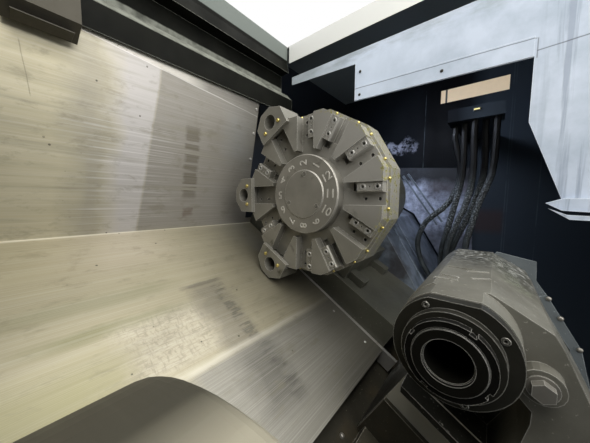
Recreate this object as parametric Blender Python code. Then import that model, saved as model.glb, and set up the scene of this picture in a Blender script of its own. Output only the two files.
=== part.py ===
"""Slant-bed CNC turning lathe with a twelve-station turret and a tailstock.

Metres, +Z up. Sizes are given from the spindle line: x from the chuck's front face towards the
tailstock, y from the spindle axis to the back, z up from the spindle axis. On the slant, s runs up
the bed to the back and n stands off the bed. The machine's origin is on the floor under its middle.
"""
import math

import bmesh
import bpy
from mathutils import Vector

# Fits shared by all pieces
GAP = 0.0003
OVERRUN = 0.012
RUNNING_GAP = 0.0006
SHEET = 0.004
SMOOTH_ANGLE = 32.0

# Overall sizes
SPINDLE_HEIGHT = 1.050
BED_ANGLE = 30.0
LEFT_END_X = -1.300
RIGHT_END_X = 1.850
FRONT_Y = -0.620
REAR_Y = 1.050
HEADSTOCK_REAR_Y = 0.920
ROOF_Z = 0.985
DOORWAY_LEFT_X = -0.130
DOORWAY_RIGHT_X = 0.900
DOORWAY_SILL_Z = -0.310
SKIRT_CLEARANCE = 0.050

# Feet
FOOT_HEIGHT = 0.050
FOOT_RADIUS = 0.055
FOOT_PAD = 0.018
FOOT_TAPER_SHARE = 0.8
FOOT_STEM_RADIUS = 0.016
FOOT_LENGTH_SHARES = (0.05, 0.5, 0.95)
FOOT_DEPTH_SHARES = (0.08, 0.92)

# Base and bed castings
BED_LEFT_X = -0.940
BED_RIGHT_X = 1.640
BED_N = -0.395
BED_FRONT_S = -0.330
BED_REAR_S = 0.790
BASE_TOP_Z = -0.560
MOTOR_BAY_LENGTH = 0.520
MOTOR_BAY_WALL = 0.090
BED_CORE_WIDTH = 0.250
BED_CORE_HEIGHT = 0.200
BED_CORE_RISE = 0.120

# Guide rails
WAY_HEIGHT = 0.030
WAY_WIDTH = 0.045
Z_WAY_S = (0.080, 0.700)
Z_WAY_LEFT_X = -0.900
Z_WAY_RIGHT_X = 1.600
TAIL_WAY_S = (-0.285, -0.056)
TAIL_WAY_LEFT_X = 0.240
TAIL_WAY_RIGHT_X = 1.150

# Headstock
HEADSTOCK_LEFT_X = -0.930
HEADSTOCK_RIGHT_X = -0.165
HEADSTOCK_FRONT_S = -0.300
HEADSTOCK_REAR_S = 0.290
HEADSTOCK_TOP_N = 0.230
HEADSTOCK_UNDER_N = -0.315
HEADSTOCK_FOOT_S = 0.036
HEADSTOCK_CHAMFER = 0.080
HEADSTOCK_WALL_X = -0.160

# Spindle line
SPINDLE_RADIUS = 0.080
SPINDLE_BORE = 0.046
SPINDLE_END = 0.010
SPINDLE_NOSE_RADIUS = 0.105
SPINDLE_NOSE = 0.026
BEARING_WIDTH = 0.070
BEARING_RADIUS = 0.118
CHUCK_RADIUS = 0.165
CHUCK_LENGTH = 0.130
CHUCK_RIM_ROUND = 0.009
CHUCK_BORE = 0.048
JAW_COUNT = 3
JAW_FIRST_ANGLE = 0.0
JAW_WIDTH = 0.036
JAW_DEPTH = 0.034
JAW_FOOT_WIDTH = 0.052
JAW_FOOT_DEPTH = 0.014
JAW_INNER_RADIUS = 0.066
JAW_OUTER_RADIUS = 0.138
JAW_GROOVE = 0.005
JAW_GROOVE_SHARES = (0.3, 0.7)
PULLEY_RADIUS = 0.145
PULLEY_WIDTH = 0.080
PULLEY_LEFT_X = -1.030
PULLEY_GROOVE = 0.006
PULLEY_GROOVES = 3
MOTOR_PULLEY_RADIUS = 0.085
MOTOR_Y = 0.330
MOTOR_Z = -0.780
MOTOR_RADIUS = 0.130
MOTOR_LENGTH = 0.400
MOTOR_SHAFT_RADIUS = 0.024
MOTOR_RIBS = 18
MOTOR_RIB_SHARES = ((0.0, 1.0), (0.4, 1.0), (0.5, 0.93), (0.9, 0.93))
BELT_THICKNESS = 0.008
CYLINDER_RADIUS = 0.110
CYLINDER_LENGTH = 0.170
CYLINDER_HOUSING_RADIUS = 0.070

# Carriage, which slides along the spindle line
SADDLE_LEFT_X = 0.747
SADDLE_RIGHT_X = 1.100
SADDLE_FRONT_S = 0.062
SADDLE_REAR_S = 0.850
SADDLE_TOP_N = -0.250
SADDLE_CLEARANCE = 0.006
WIPER_PLATE = 0.012
WIPER_FRONT_S = 0.007
X_WAY_FIRST_X = 0.790
X_WAY_SECOND_X = 1.015
X_WAY_FRONT_S = 0.235
X_WAY_REAR_S = 0.840

# Left way cover, one folded stainless sheet
COVER_LEFT_X = -0.330
COVER_UPPER_RIGHT_X = 0.700
COVER_N = -0.340
COVER_FRONT_S = 0.057
COVER_FOLD_S = 0.832
COVER_TOP_Y = 0.778
COVER_TOP_Z = 0.668
COVER_LIP = 0.024
COVER_SHEET = 0.003

# Right telescopic way cover, three nested sheets
RIGHT_COVER_X = 1.115
RIGHT_COVER_STEP = 0.120
RIGHT_COVER_LENGTHS = (0.400, 0.380, 0.380)
RIGHT_COVER_FRONT_N = -0.262
RIGHT_COVER_SHOULDER_S = 0.400
RIGHT_COVER_TOP_N = -0.072
RIGHT_COVER_REAR_S = 0.862

# Cross slide and turret
TURRET_S = 0.496
TURRET_N = 0.0
X_TRAVEL = (-0.055, 0.050)
CROSS_LEFT_X = 0.765
CROSS_RIGHT_X = 1.085
CROSS_FRONT_S = 0.300
CROSS_REAR_S = 0.830
CROSS_TOP_N = -0.165
CROSS_CLEARANCE = 0.004
TURRET_FACE_X = 0.570
TURRET_THICKNESS = 0.110
TURRET_RAISE = 0.030
STATIONS = 12
STATION_FLAT = 0.249
TURRET_RIM_FLAT = 0.257
SLOT_WIDTH = 0.063
SLOT_FLOOR_RADIUS = 0.145
HUB_RADIUS = 0.125
HUB_RAISE = 0.036
CAP_RADIUS = 0.074
CAP_RAISE = 0.003
CAP_SCREWS = 3
CAP_SCREW_RING = 0.0636
CAP_SCREW_RADIUS = 0.0075
CAP_SCREW_ANGLE = 65.0
CLAMP_WIDTH = 0.027
CLAMP_INNER_RADIUS = 0.176
CLAMP_LENGTH = 0.070
CLAMP_HEIGHT = 0.024
CLAMP_CHAMFER = 0.003
CLAMP_SCREW_SHARES = (0.23, 0.80)
CLAMP_SCREW_RADIUS = 0.009
CLAMP_SCREW_HEAD = 0.006
CLAMP_SCREW_SUNK = 0.0025
CLAMP_SEAT = 0.001
CLAMP_SOCKET_RADIUS = 0.0048
SLOT_HOLE_RADIUS = 0.005
SLOT_HOLE_OFFSET = 0.014
SLOT_HOLE_DEPTH = 0.016
CLAMP_TURNED_STATIONS = (4, 11)
CLAMP_STOP_RADIUS = 0.003
CLAMP_POCKET = 0.022
CLAMP_POCKET_DEPTH = 0.012
GROOVE_STATIONS = (3, 11)
GROOVE_DEPTH = 0.009
TURRET_BOSS_RADIUS = 0.140
TURRET_BOSS_LENGTH = 0.020
HOUSING_RIGHT_X = 1.090
HOUSING_RADIUS = 0.166
TURRET_MOTOR_RADIUS = 0.060
TURRET_MOTOR_LENGTH = 0.190
TURRET_MOTOR_N = 0.060

# Boring bar holders
HOLDER_STATIONS = (5, 7, 9)
HOLDER_BORE_RADIUS = 0.0257
HOLDER_RING = 0.2855
HOLDER_REACH = 0.331
HOLDER_PLATE_SEAT = 0.238
HOLDER_SHOULDER = 0.299
HOLDER_HALF_WIDTH = 0.063
HOLDER_NOSE_HALF_WIDTH = 0.023
HOLDER_LEFT_X = 0.556
HOLDER_LENGTH = 0.090

# Ball screws and their motors
BALLSCREW_RADIUS = 0.020
Z_SCREW_S = 0.410
Z_SCREW_DROP = 0.034
Z_CHANNEL_WIDTH = 0.130
Z_CHANNEL_DEPTH = 0.075
Z_SCREW_LEFT_X = 0.060
Z_SCREW_RIGHT_X = 1.560
Z_BEARING_LENGTH = 0.060
NUT_RADIUS = 0.030
NUT_LENGTH = 0.140
SERVO_SIZE = 0.130
SERVO_REACH = 0.050
SERVO_CORNER_SHARES = ((-1.1, -0.9), (1.1, -0.9), (1.1, 0.5), (0.8, 0.8), (-0.8, 0.8), (-1.1, 0.5))
X_MOTOR_LENGTH = 0.130

# Tailstock
QUILL_BORE = 0.0329
QUILL_RADIUS = 0.0475
QUILL_LIP = 0.0010
QUILL_LEFT_X = 0.340
QUILL_RIGHT_X = 0.800
QUILL_BORE_DEPTH = 0.140
QUILL_BACK_BORE = 0.020
QUILL_SEAT_DEPTH = 0.006
QUILL_TAPER_SHARES = (0.94, 0.90)
NUT_RING_RADIUS = 0.0576
NUT_RING_LEFT_X = 0.344
NUT_RING_WIDTH = 0.013
NUT_RING_SLOTS = 4
NUT_RING_SLOT_WIDTH = 0.009
NUT_RING_SLOT_DEPTH = 0.004
FLANGE_LEFT_X = 0.373
FLANGE_WIDTH = 0.022
FLANGE_RADIUS = 0.084
FLANGE_FLAT_Z = 0.077
FLANGE_STEP_RADIUS = 0.066
TAIL_CYLINDER_RADIUS = 0.088
TAIL_NOSE_RADIUS = 0.0855
TAIL_SHOULDER_X = 0.450
TAIL_RIGHT_X = 0.880
TAIL_FLAT_N = 0.0895
TAIL_FLAT_FRONT_S = -0.084
TAIL_ROUND_ANGLES = (-60.0, 33.0)
TAIL_TOP_Z = 0.0785
TAIL_FRONT_OUTLINE = ((-0.105, 0.077), (-0.165, 0.032), (-0.265, -0.032), (-0.291, -0.0895))
TAIL_BASE_LEFT_X = 0.500
TAIL_BASE_TOP_N = -0.171
TAIL_BASE_FRONT_S = -0.295
TAIL_BASE_REAR_S = 0.0
TAIL_WIPER = 0.012
TAIL_POCKET_DEPTH = 0.110
TAIL_POCKET_ANGLES = (195.0, 330.0)
TAIL_POCKET_REAR_S = 0.120
TAIL_POCKET_EDGE = ((-0.160, -0.170), (-0.1545, -0.0835), (-0.144, -0.049), (-0.134, -0.030), (-0.112, -0.0235))
TAIL_WIPER_STEP_N = -0.262
TAIL_BOLT_S = -0.110
TAIL_BOLT_N = 0.022
TAIL_BOLT_BOSS_RADIUS = 0.0255
TAIL_BOLT_BOSS = 0.024
BOLT_WASHER_RADIUS = 0.0185
BOLT_WASHER = 0.003
BOLT_HEAD_RADIUS = 0.0142
BOLT_HEAD = 0.0125
END_PLATE = 0.006
END_PLATE_OUTLINE = (
    (0.0, -0.335),
    (0.0, 0.036),
    (-0.006, 0.097),
    (-0.088, 0.125),
    (-0.116, 0.081),
    (-0.160, 0.058),
    (-0.207, 0.030),
    (-0.276, -0.012),
    (-0.352, -0.096),
    (-0.352, -0.335),
)

# Rear header, the folded beam above the way cover
HEADER_APRON_Y = 0.764
HEADER_APRON_Z = 0.650
HEADER_A_Z = 0.756
HEADER_B_Z = 0.858
HEADER_LEDGE_Y = 0.797
HEADER_RECESS_Y = 0.835
HEADER_LIP_Y = 0.784
HEADER_BACK_Y = 0.900
HEADER_C_SETBACK = 0.012
HEADER_C_Z = 0.905

# Bulkhead and roof at the tailstock end
BULKHEAD_TOP_Z = 0.832
BULKHEAD_STRIP_Z = 0.797
BULKHEAD_NOTCH_Y = 0.428
BULKHEAD_LOW_Z = 0.637
BULKHEAD_LOW_RIGHT_Z = 0.622
BULKHEAD_POST_Y = -0.100
BULKHEAD_POST_LOW_Z = 0.450
BULKHEAD_SLANT_Y = -0.177
BULKHEAD_SLANT_Z = 0.234
BULKHEAD_LEDGE_Y = -0.146
BULKHEAD_LEDGE_Z = 0.226
BULKHEAD_REACH = 0.055
ROOF_FLANGE_Z = 0.905
END_WALL_X = 1.704
WINDOW_LOW_Z = 0.828
WINDOW_HIGH_Z = 0.905
WINDOW_FRONT_Y = -0.067
WINDOW_REAR_Y = 0.250

# Sliding door
DOOR_WIDTH = 1.110
DOOR_OVERLAP = 0.040
DOOR_THICKNESS = 0.024
DOOR_SETOFF = 0.010
DOOR_TOP_RISE = 0.006
DOOR_TOP_THICKNESS = 0.020
DOOR_TOP_REAR_Y = 0.760
DOOR_WINDOW_LEFT_SHARE = 0.22
DOOR_WINDOW_RIGHT_SHARE = 0.78
DOOR_WINDOW_LOW_Z = -0.090
DOOR_WINDOW_HIGH_Z = 0.560
GLASS_THICKNESS = 0.008
HANDLE_RADIUS = 0.014
HANDLE_LENGTH = 0.420
HANDLE_STANDOFF = 0.050
HANDLE_INSET = 0.060
HANDLE_LOW_Z = -0.080
HANDLE_POST_SHARES = (0.1, 0.9)
HANDLE_POST_SHARE = 0.7
RAIL_HEIGHT = 0.030

# Control pendant
PENDANT_LEFT_X = 1.020
PENDANT_WIDTH = 0.430
PENDANT_SETOFF = 0.045
PENDANT_THICKNESS = 0.110
PENDANT_LOW_Z = -0.050
PENDANT_HEIGHT = 0.560
PENDANT_ROUND = 0.018
SCREEN_WIDTH_SHARE = 0.72
SCREEN_HEIGHT_SHARE = 0.36
SCREEN_LOW_SHARE = 0.58
SCREEN_DEPTH = 0.006
KEY_COLUMNS = 10
KEY_ROWS = 5
KEY_SIZE = 0.022
KEY_PITCH = 0.029
KEY_HEIGHT = 0.003
KEYS_LOW_SHARE = 0.27
DIAL_ROW_SHARE = 0.13
ESTOP_SHARE = 0.87
HANDWHEEL_SHARE = 0.62
KNOB_SHARE = 0.20
CYCLE_BUTTON_SHARE = 0.42
ESTOP_RADIUS = 0.020
ESTOP_HEIGHT = 0.018
ESTOP_TRAVEL = 0.004
ESTOP_STEM_RADIUS = 0.010
ESTOP_FACE_SHARE = 0.7
WHEEL_RADIUS = 0.036
WHEEL_THICKNESS = 0.012
WHEEL_GRIP_RADIUS = 0.005
WHEEL_GRIP_LENGTH = 0.014
WHEEL_RIM_SHARE = 0.8
WHEEL_DISH_SHARE = 0.7
WHEEL_GRIP_SHARE = 0.55
KNOB_RADIUS = 0.015
KNOB_HEIGHT = 0.016
KNOB_GRIPS = 12
KNOB_VALLEY_SHARE = 0.86
BUTTON_RADIUS = 0.013
BUTTON_HEIGHT = 0.010
BUTTON_TRAVEL = 0.003
ARM_RADIUS = 0.022
ARM_REACH = 0.046
ARM_SHARE = 0.8

# Electrical cabinet
CABINET_LEFT_X = -1.240
CABINET_RIGHT_X = -0.170
CABINET_DEPTH = 0.240
CABINET_LOW_Z = -0.850
CABINET_HIGH_Z = 0.700
CABINET_WALL = 0.006
CABINET_HANDLE_WIDTH = 0.030
CABINET_HANDLE_LENGTH = 0.120
CABINET_HANDLE_DEPTH = 0.022

# Chip pan
PAN_LOW_Z = -0.800
PAN_FRONT_Z = -0.420
PAN_FLOOR_FRONT_Y = -0.480
PAN_FLOOR_REAR_Y = -0.260

# Work light
LIGHT_LEFT_X = -0.024
LIGHT_RIGHT_X = 0.095
LIGHT_LOW_Z = 0.599
LIGHT_HIGH_Z = 0.704
LIGHT_DEPTH = 0.060

# Hydraulic hoses behind the tailstock: each one's setback along x, and its y at each height
HOSE_RADIUS = 0.012
HOSE_POINTS = 32
HOSE_X = 1.220
HOSE_SETBACKS = (0.030, 0.0, -0.028, 0.0, -0.028)
HOSE_HEIGHTS = (0.560, 0.530, 0.500, 0.350, 0.225, 0.137, 0.057, -0.005, -0.072, -0.150, -0.205, -0.230, -0.255)
HOSE_PATHS = (
    (0.110, 0.110, 0.110, 0.082, 0.122, 0.206, 0.238, 0.238, 0.216, 0.170, 0.155, 0.155, 0.155),
    (0.075, 0.075, 0.075, 0.073, 0.093, 0.110, 0.126, 0.135, 0.135, 0.125, 0.120, 0.120, 0.120),
    (0.040, 0.040, 0.040, 0.035, 0.051, 0.080, 0.104, 0.113, 0.108, 0.092, 0.085, 0.085, 0.085),
    (0.005, 0.005, 0.005, 0.000, 0.027, 0.055, 0.085, 0.099, 0.096, 0.065, 0.050, 0.050, 0.050),
    (-0.030, -0.030, -0.030, -0.027, 0.010, 0.028, 0.043, 0.047, 0.045, 0.025, 0.015, 0.015, 0.015),
)
BLOCK_HEIGHT = 0.050
BLOCK_MARGIN = 0.010
HOSE_BRACKET = 0.006

# Values worked out from the sizes above
COS_BED = math.cos(math.radians(BED_ANGLE))
SIN_BED = math.sin(math.radians(BED_ANGLE))
FLOOR_Z = -SPINDLE_HEIGHT
SKIRT_Z = FLOOR_Z + SKIRT_CLEARANCE
SPINDLE_LEFT_X = PULLEY_LEFT_X - SPINDLE_END
X_AXIS = Vector((1, 0, 0))
Y_AXIS = Vector((0, 1, 0))
Z_AXIS = Vector((0, 0, 1))
S_AXIS = Vector((0, COS_BED, SIN_BED))
N_AXIS = Vector((0, -SIN_BED, COS_BED))
SECTION = (Y_AXIS, Z_AXIS, X_AXIS)
SLANT = (S_AXIS, N_AXIS, X_AXIS)
PLAN = (X_AXIS, Y_AXIS, Z_AXIS)
FRONT = (X_AXIS, Z_AXIS, Y_AXIS)
CROSS = (X_AXIS, N_AXIS, S_AXIS)
TURRET_BACK_X = TURRET_FACE_X + TURRET_THICKNESS
WAY_TOP_N = BED_N + WAY_HEIGHT
DOOR_FRONT_Y = FRONT_Y - DOOR_SETOFF - DOOR_THICKNESS
DOOR_BACK_Y = FRONT_Y - DOOR_SETOFF
DOOR_TRAVEL = DOOR_WIDTH
PENDANT_BACK_Y = FRONT_Y - PENDANT_SETOFF
PENDANT_FRONT_Y = PENDANT_BACK_Y - PENDANT_THICKNESS
PENDANT_HINGE_X = PENDANT_LEFT_X + PENDANT_WIDTH - ARM_RADIUS
PENDANT_HINGE_Y = PENDANT_BACK_Y - PENDANT_THICKNESS / 2
CABINET_BACK_Y = HEADSTOCK_REAR_Y + CABINET_DEPTH
WHEEL_FRONT_Y = PENDANT_FRONT_Y - WHEEL_THICKNESS - WHEEL_GRIP_LENGTH
CABINET_HANDLE_Y = CABINET_BACK_Y + CABINET_HANDLE_DEPTH
ORIGIN = Vector((
    -(LEFT_END_X + RIGHT_END_X) / 2,
    -(WHEEL_FRONT_Y + CABINET_HANDLE_Y) / 2,
    SPINDLE_HEIGHT,
))

# The weights that make a smooth curve through four points, by power of the place between them
CURVE_BASIS = ((0, 2, 0, 0), (-1, 0, 1, 0), (2, -5, 4, -1), (-1, 3, -3, 1))

# Colours as the photo shows them: red, green, blue, roughness, metallic
FINISHES = {
    "casting": (0.10, 0.105, 0.10, 0.55, 0.3),
    "turret_steel": (0.17, 0.16, 0.145, 0.42, 0.8),
    "bright_steel": (0.55, 0.55, 0.54, 0.30, 1.0),
    "stainless": (0.48, 0.47, 0.44, 0.35, 1.0),
    "chuck_steel": (0.16, 0.16, 0.155, 0.35, 0.9),
    "black_oxide": (0.03, 0.03, 0.03, 0.45, 0.6),
    "brass": (0.72, 0.55, 0.22, 0.35, 1.0),
    "blue_grey_paint": (0.50, 0.56, 0.62, 0.45, 0.0),
    "dark_paint": (0.03, 0.035, 0.045, 0.40, 0.0),
    "header_paint": (0.16, 0.19, 0.18, 0.40, 0.1),
    "outer_paint": (0.80, 0.80, 0.77, 0.40, 0.0),
    "trim_paint": (0.20, 0.23, 0.27, 0.45, 0.0),
    "rubber": (0.02, 0.02, 0.02, 0.70, 0.0),
    "glass": (0.60, 0.66, 0.66, 0.05, 0.0),
    "screen": (0.02, 0.03, 0.05, 0.15, 0.0),
    "key_plastic": (0.45, 0.46, 0.47, 0.50, 0.0),
    "red_plastic": (0.65, 0.04, 0.03, 0.35, 0.0),
    "green_plastic": (0.05, 0.40, 0.12, 0.35, 0.0),
    "motor_paint": (0.07, 0.08, 0.09, 0.45, 0.1),
}


def clear_scene():
    for thing in list(bpy.data.objects):
        bpy.data.objects.remove(thing, do_unlink=True)


def finish(name):
    found = bpy.data.materials.get(name)
    if found:
        return found
    red, green, blue, roughness, metallic = FINISHES[name]
    material = bpy.data.materials.new(name)
    material.use_nodes = True
    shader = material.node_tree.nodes["Principled BSDF"]
    shader.inputs["Base Color"].default_value = (red, green, blue, 1)
    shader.inputs["Roughness"].default_value = roughness
    shader.inputs["Metallic"].default_value = metallic
    return material


def slant(s, n):
    """The y and z of a place given up the bed and off the bed."""
    place = S_AXIS * s + N_AXIS * n
    return place.y, place.z


def slant_place(x, s, n):
    return X_AXIS * x + S_AXIS * s + N_AXIS * n


def spin(centre, radius, angle):
    turn = math.radians(angle)
    return centre[0] + radius * math.cos(turn), centre[1] + radius * math.sin(turn)


def arc(centre, radius, start, end, steps):
    return [spin(centre, radius, start + (end - start) * k / steps) for k in range(steps + 1)]


def circle(centre, radius, sides, turn=0):
    return [spin(centre, radius, turn + 360 * k / sides) for k in range(sides)]


def rectangle(left, right, low, high):
    return [(left, low), (right, low), (right, high), (left, high)]


def prism(frame, outline, low, high):
    """A straight extrusion of an outline, between two places along the frame's third axis."""
    across, up, along = frame
    ends = [[across * u + up * v + along * w for u, v in outline] for w in (low, high)]
    count = len(outline)
    faces = [list(range(count)), list(range(count, 2 * count))]
    faces += [[k, (k + 1) % count, count + (k + 1) % count, count + k] for k in range(count)]
    return ends[0] + ends[1], faces


def block(frame, across, up, along):
    return prism(frame, rectangle(across[0], across[1], up[0], up[1]), along[0], along[1])


def turned(frame, centre, profile, sides=40):
    """A closed profile of (along, radius) pairs, turned about an axis of the frame."""
    across, up, along = frame
    points = []
    rings = []
    for w, radius in profile:
        middle = across * centre[0] + up * centre[1] + along * w
        if radius == 0:
            rings.append([len(points)] * sides)
            points.append(middle)
            continue
        rings.append([len(points) + k for k in range(sides)])
        for k in range(sides):
            u, v = spin((0, 0), radius, 360 * k / sides)
            points.append(middle + across * u + up * v)
    faces = []
    for one, other in zip(rings, rings[1:] + rings[:1]):
        for k in range(sides):
            corners = [one[k], one[(k + 1) % sides], other[(k + 1) % sides], other[k]]
            face = list(dict.fromkeys(corners))
            if len(face) > 2:
                faces.append(face)
    return points, faces


def rod(frame, centre, radius, low, high, sides=24):
    return prism(frame, circle(centre, radius, sides), low, high)


def tube(frame, centre, radius, bore, low, high, sides=40):
    return turned(frame, centre, [(low, bore), (low, radius), (high, radius), (high, bore)], sides)


def sheet(points, thickness):
    """The outline of a folded sheet: a polyline, given its thickness on its left-hand side."""
    offsets = []
    count = len(points)
    for k, point in enumerate(points):
        before = Vector(points[k]) - Vector(points[k - 1]) if k > 0 else None
        after = Vector(points[k + 1]) - Vector(points[k]) if k < count - 1 else None
        normals = []
        for run in (before, after):
            if run is not None:
                run.normalize()
                normals.append(Vector((-run.y, run.x)))
        middle = sum(normals, Vector((0, 0))).normalized()
        reach = thickness / middle.dot(normals[0])
        offsets.append(tuple(Vector(point) + middle * reach))
    return list(points) + offsets[::-1]


def make_mesh(name, parts, origin):
    shape = bmesh.new()
    for points, faces in parts:
        corners = [shape.verts.new(Vector(point) - origin) for point in points]
        for face in faces:
            shape.faces.new([corners[k] for k in face])
    bmesh.ops.recalc_face_normals(shape, faces=shape.faces)
    mesh = bpy.data.meshes.new(name)
    shape.to_mesh(mesh)
    shape.free()
    return mesh


def solid(name, parts, colour, on=None, joins=(), cuts=(), fittings=(), recesses=()):
    """One named piece: joins are welded on, cuts taken out, then fittings welded on and recesses taken out."""
    carrier = on or CARRIERS["machine"]
    origin = carrier["place"]
    mesh = make_mesh(name, parts, origin)
    piece = bpy.data.objects.new(name, mesh)
    bpy.context.scene.collection.objects.link(piece)
    piece.parent = carrier["empty"]
    mesh.materials.append(finish(colour))
    steps = [("UNION", extra) for extra in joins]
    steps += [("DIFFERENCE", extra) for extra in cuts]
    steps += [("UNION", extra) for extra in fittings]
    steps += [("DIFFERENCE", extra) for extra in recesses]
    for kind, extra in steps:
        helper_name = "tool_" + name + "_" + str(len(piece.modifiers))
        helper = bpy.data.objects.new(helper_name, make_mesh(helper_name, extra, origin))
        bpy.context.scene.collection.objects.link(helper)
        helper.parent = carrier["empty"]
        helper.hide_render = True
        helper.display_type = "WIRE"
        boolean = piece.modifiers.new(kind.lower(), "BOOLEAN")
        boolean.operation = kind
        boolean.solver = "EXACT"
        boolean.object = helper
    mesh.shade_smooth()
    mesh.set_sharp_from_angle(angle=math.radians(SMOOTH_ANGLE))
    return piece


CARRIERS = {}


def carrier(name, place, on=None):
    """An empty on a joint's axis, which carries the pieces that move with it."""
    empty = bpy.data.objects.new("axis_" + name, None)
    bpy.context.scene.collection.objects.link(empty)
    held_by = CARRIERS[on] if on else None
    empty.location = Vector(place) - held_by["place"] if held_by else ORIGIN
    empty.parent = held_by["empty"] if held_by else None
    CARRIERS[name] = {"empty": empty, "place": Vector(place)}
    return CARRIERS[name]


def make_base():
    front_y = slant(BED_FRONT_S, BED_N)[0]
    rear_y = slant(BED_REAR_S, BED_N)[0]
    bottom = FLOOR_Z + FOOT_HEIGHT
    bay = block(
        SECTION,
        (MOTOR_Y - MOTOR_RADIUS - MOTOR_BAY_WALL, MOTOR_Y + MOTOR_RADIUS + MOTOR_BAY_WALL),
        (MOTOR_Z - MOTOR_RADIUS - GAP, MOTOR_Z + MOTOR_RADIUS + MOTOR_BAY_WALL / 2),
        (BED_LEFT_X - OVERRUN, BED_LEFT_X + MOTOR_BAY_LENGTH),
    )
    length = BED_RIGHT_X - BED_LEFT_X
    depth = rear_y - front_y
    feet = []
    for length_share in FOOT_LENGTH_SHARES:
        for depth_share in FOOT_DEPTH_SHARES:
            centre = (BED_LEFT_X + length * length_share, front_y + depth * depth_share)
            profile = [
                (FLOOR_Z, 0),
                (FLOOR_Z, FOOT_RADIUS),
                (FLOOR_Z + FOOT_PAD, FOOT_RADIUS * FOOT_TAPER_SHARE),
                (FLOOR_Z + FOOT_PAD, FOOT_STEM_RADIUS),
                (bottom + OVERRUN, FOOT_STEM_RADIUS),
                (bottom + OVERRUN, 0),
            ]
            feet.append(turned(PLAN, centre, profile, 20))
    casting = block(SECTION, (front_y, rear_y), (bottom, BASE_TOP_Z), (BED_LEFT_X, BED_RIGHT_X))
    solid("base_casting", [casting], "casting", joins=[feet], cuts=[[bay]])


def make_bed():
    front_y, front_z = slant(BED_FRONT_S, BED_N)
    rear_y, rear_z = slant(BED_REAR_S, BED_N)
    low = BASE_TOP_Z + GAP
    outline = [(front_y, low), (rear_y, low), (rear_y, rear_z), (front_y, front_z)]
    centre = (Z_SCREW_S, BED_N - Z_SCREW_DROP)
    across = (Z_SCREW_S - Z_CHANNEL_WIDTH / 2, Z_SCREW_S + Z_CHANNEL_WIDTH / 2)
    down = (BED_N - Z_CHANNEL_DEPTH, BED_N + OVERRUN)
    channels = [
        block(SLANT, across, down, (Z_SCREW_LEFT_X + Z_BEARING_LENGTH, Z_SCREW_RIGHT_X - Z_BEARING_LENGTH)),
        block(SLANT, across, down, (Z_SCREW_RIGHT_X, BED_RIGHT_X + OVERRUN)),
    ]
    bore = rod(SLANT, centre, BALLSCREW_RADIUS + GAP, Z_SCREW_LEFT_X - GAP, Z_SCREW_RIGHT_X + OVERRUN, 24)
    core_y = rear_y - BED_CORE_WIDTH
    core_z = BASE_TOP_Z + BED_CORE_RISE
    core = prism(
        SECTION,
        [
            (core_y - BED_CORE_WIDTH / 2, core_z),
            (core_y + BED_CORE_WIDTH / 2, core_z),
            (core_y + BED_CORE_WIDTH / 2, core_z + BED_CORE_HEIGHT),
            (core_y, core_z + BED_CORE_HEIGHT),
        ],
        BED_LEFT_X - OVERRUN,
        BED_RIGHT_X + OVERRUN,
    )
    ways = []
    for places, left, right in (
        (Z_WAY_S, Z_WAY_LEFT_X, Z_WAY_RIGHT_X),
        (TAIL_WAY_S, TAIL_WAY_LEFT_X, TAIL_WAY_RIGHT_X),
    ):
        for s in places:
            ways.append(block(SLANT, (s, s + WAY_WIDTH), (BED_N - OVERRUN, WAY_TOP_N), (left, right)))
    solid("bed_casting", [prism(SECTION, outline, BED_LEFT_X, BED_RIGHT_X)], "casting",
          joins=[ways, [manifold_part()]], cuts=[channels, [bore], [core]], fittings=[[servo_part(centre)]])


def make_headstock():
    bed = BED_N + GAP
    outline = [
        (HEADSTOCK_FRONT_S, bed),
        (HEADSTOCK_FOOT_S, bed),
        (HEADSTOCK_FOOT_S, HEADSTOCK_UNDER_N),
        (HEADSTOCK_REAR_S - HEADSTOCK_CHAMFER / 2, HEADSTOCK_UNDER_N),
        (HEADSTOCK_REAR_S, HEADSTOCK_UNDER_N + HEADSTOCK_CHAMFER / 2),
        (HEADSTOCK_REAR_S, HEADSTOCK_TOP_N - HEADSTOCK_CHAMFER),
        (HEADSTOCK_REAR_S - HEADSTOCK_CHAMFER, HEADSTOCK_TOP_N),
        (HEADSTOCK_FRONT_S + HEADSTOCK_CHAMFER, HEADSTOCK_TOP_N),
        (HEADSTOCK_FRONT_S, HEADSTOCK_TOP_N - HEADSTOCK_CHAMFER),
    ]
    seat = SPINDLE_RADIUS + GAP
    profile = [
        (HEADSTOCK_LEFT_X - OVERRUN, 0),
        (HEADSTOCK_LEFT_X - OVERRUN, seat),
        (HEADSTOCK_LEFT_X + BEARING_WIDTH, seat),
        (HEADSTOCK_LEFT_X + BEARING_WIDTH, BEARING_RADIUS),
        (HEADSTOCK_RIGHT_X - BEARING_WIDTH, BEARING_RADIUS),
        (HEADSTOCK_RIGHT_X - BEARING_WIDTH, seat),
        (HEADSTOCK_RIGHT_X + OVERRUN, seat),
        (HEADSTOCK_RIGHT_X + OVERRUN, 0),
    ]
    solid("headstock", [prism(SLANT, outline, HEADSTOCK_LEFT_X, HEADSTOCK_RIGHT_X)], "casting",
          cuts=[[turned(SECTION, (0, 0), profile)]])


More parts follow.
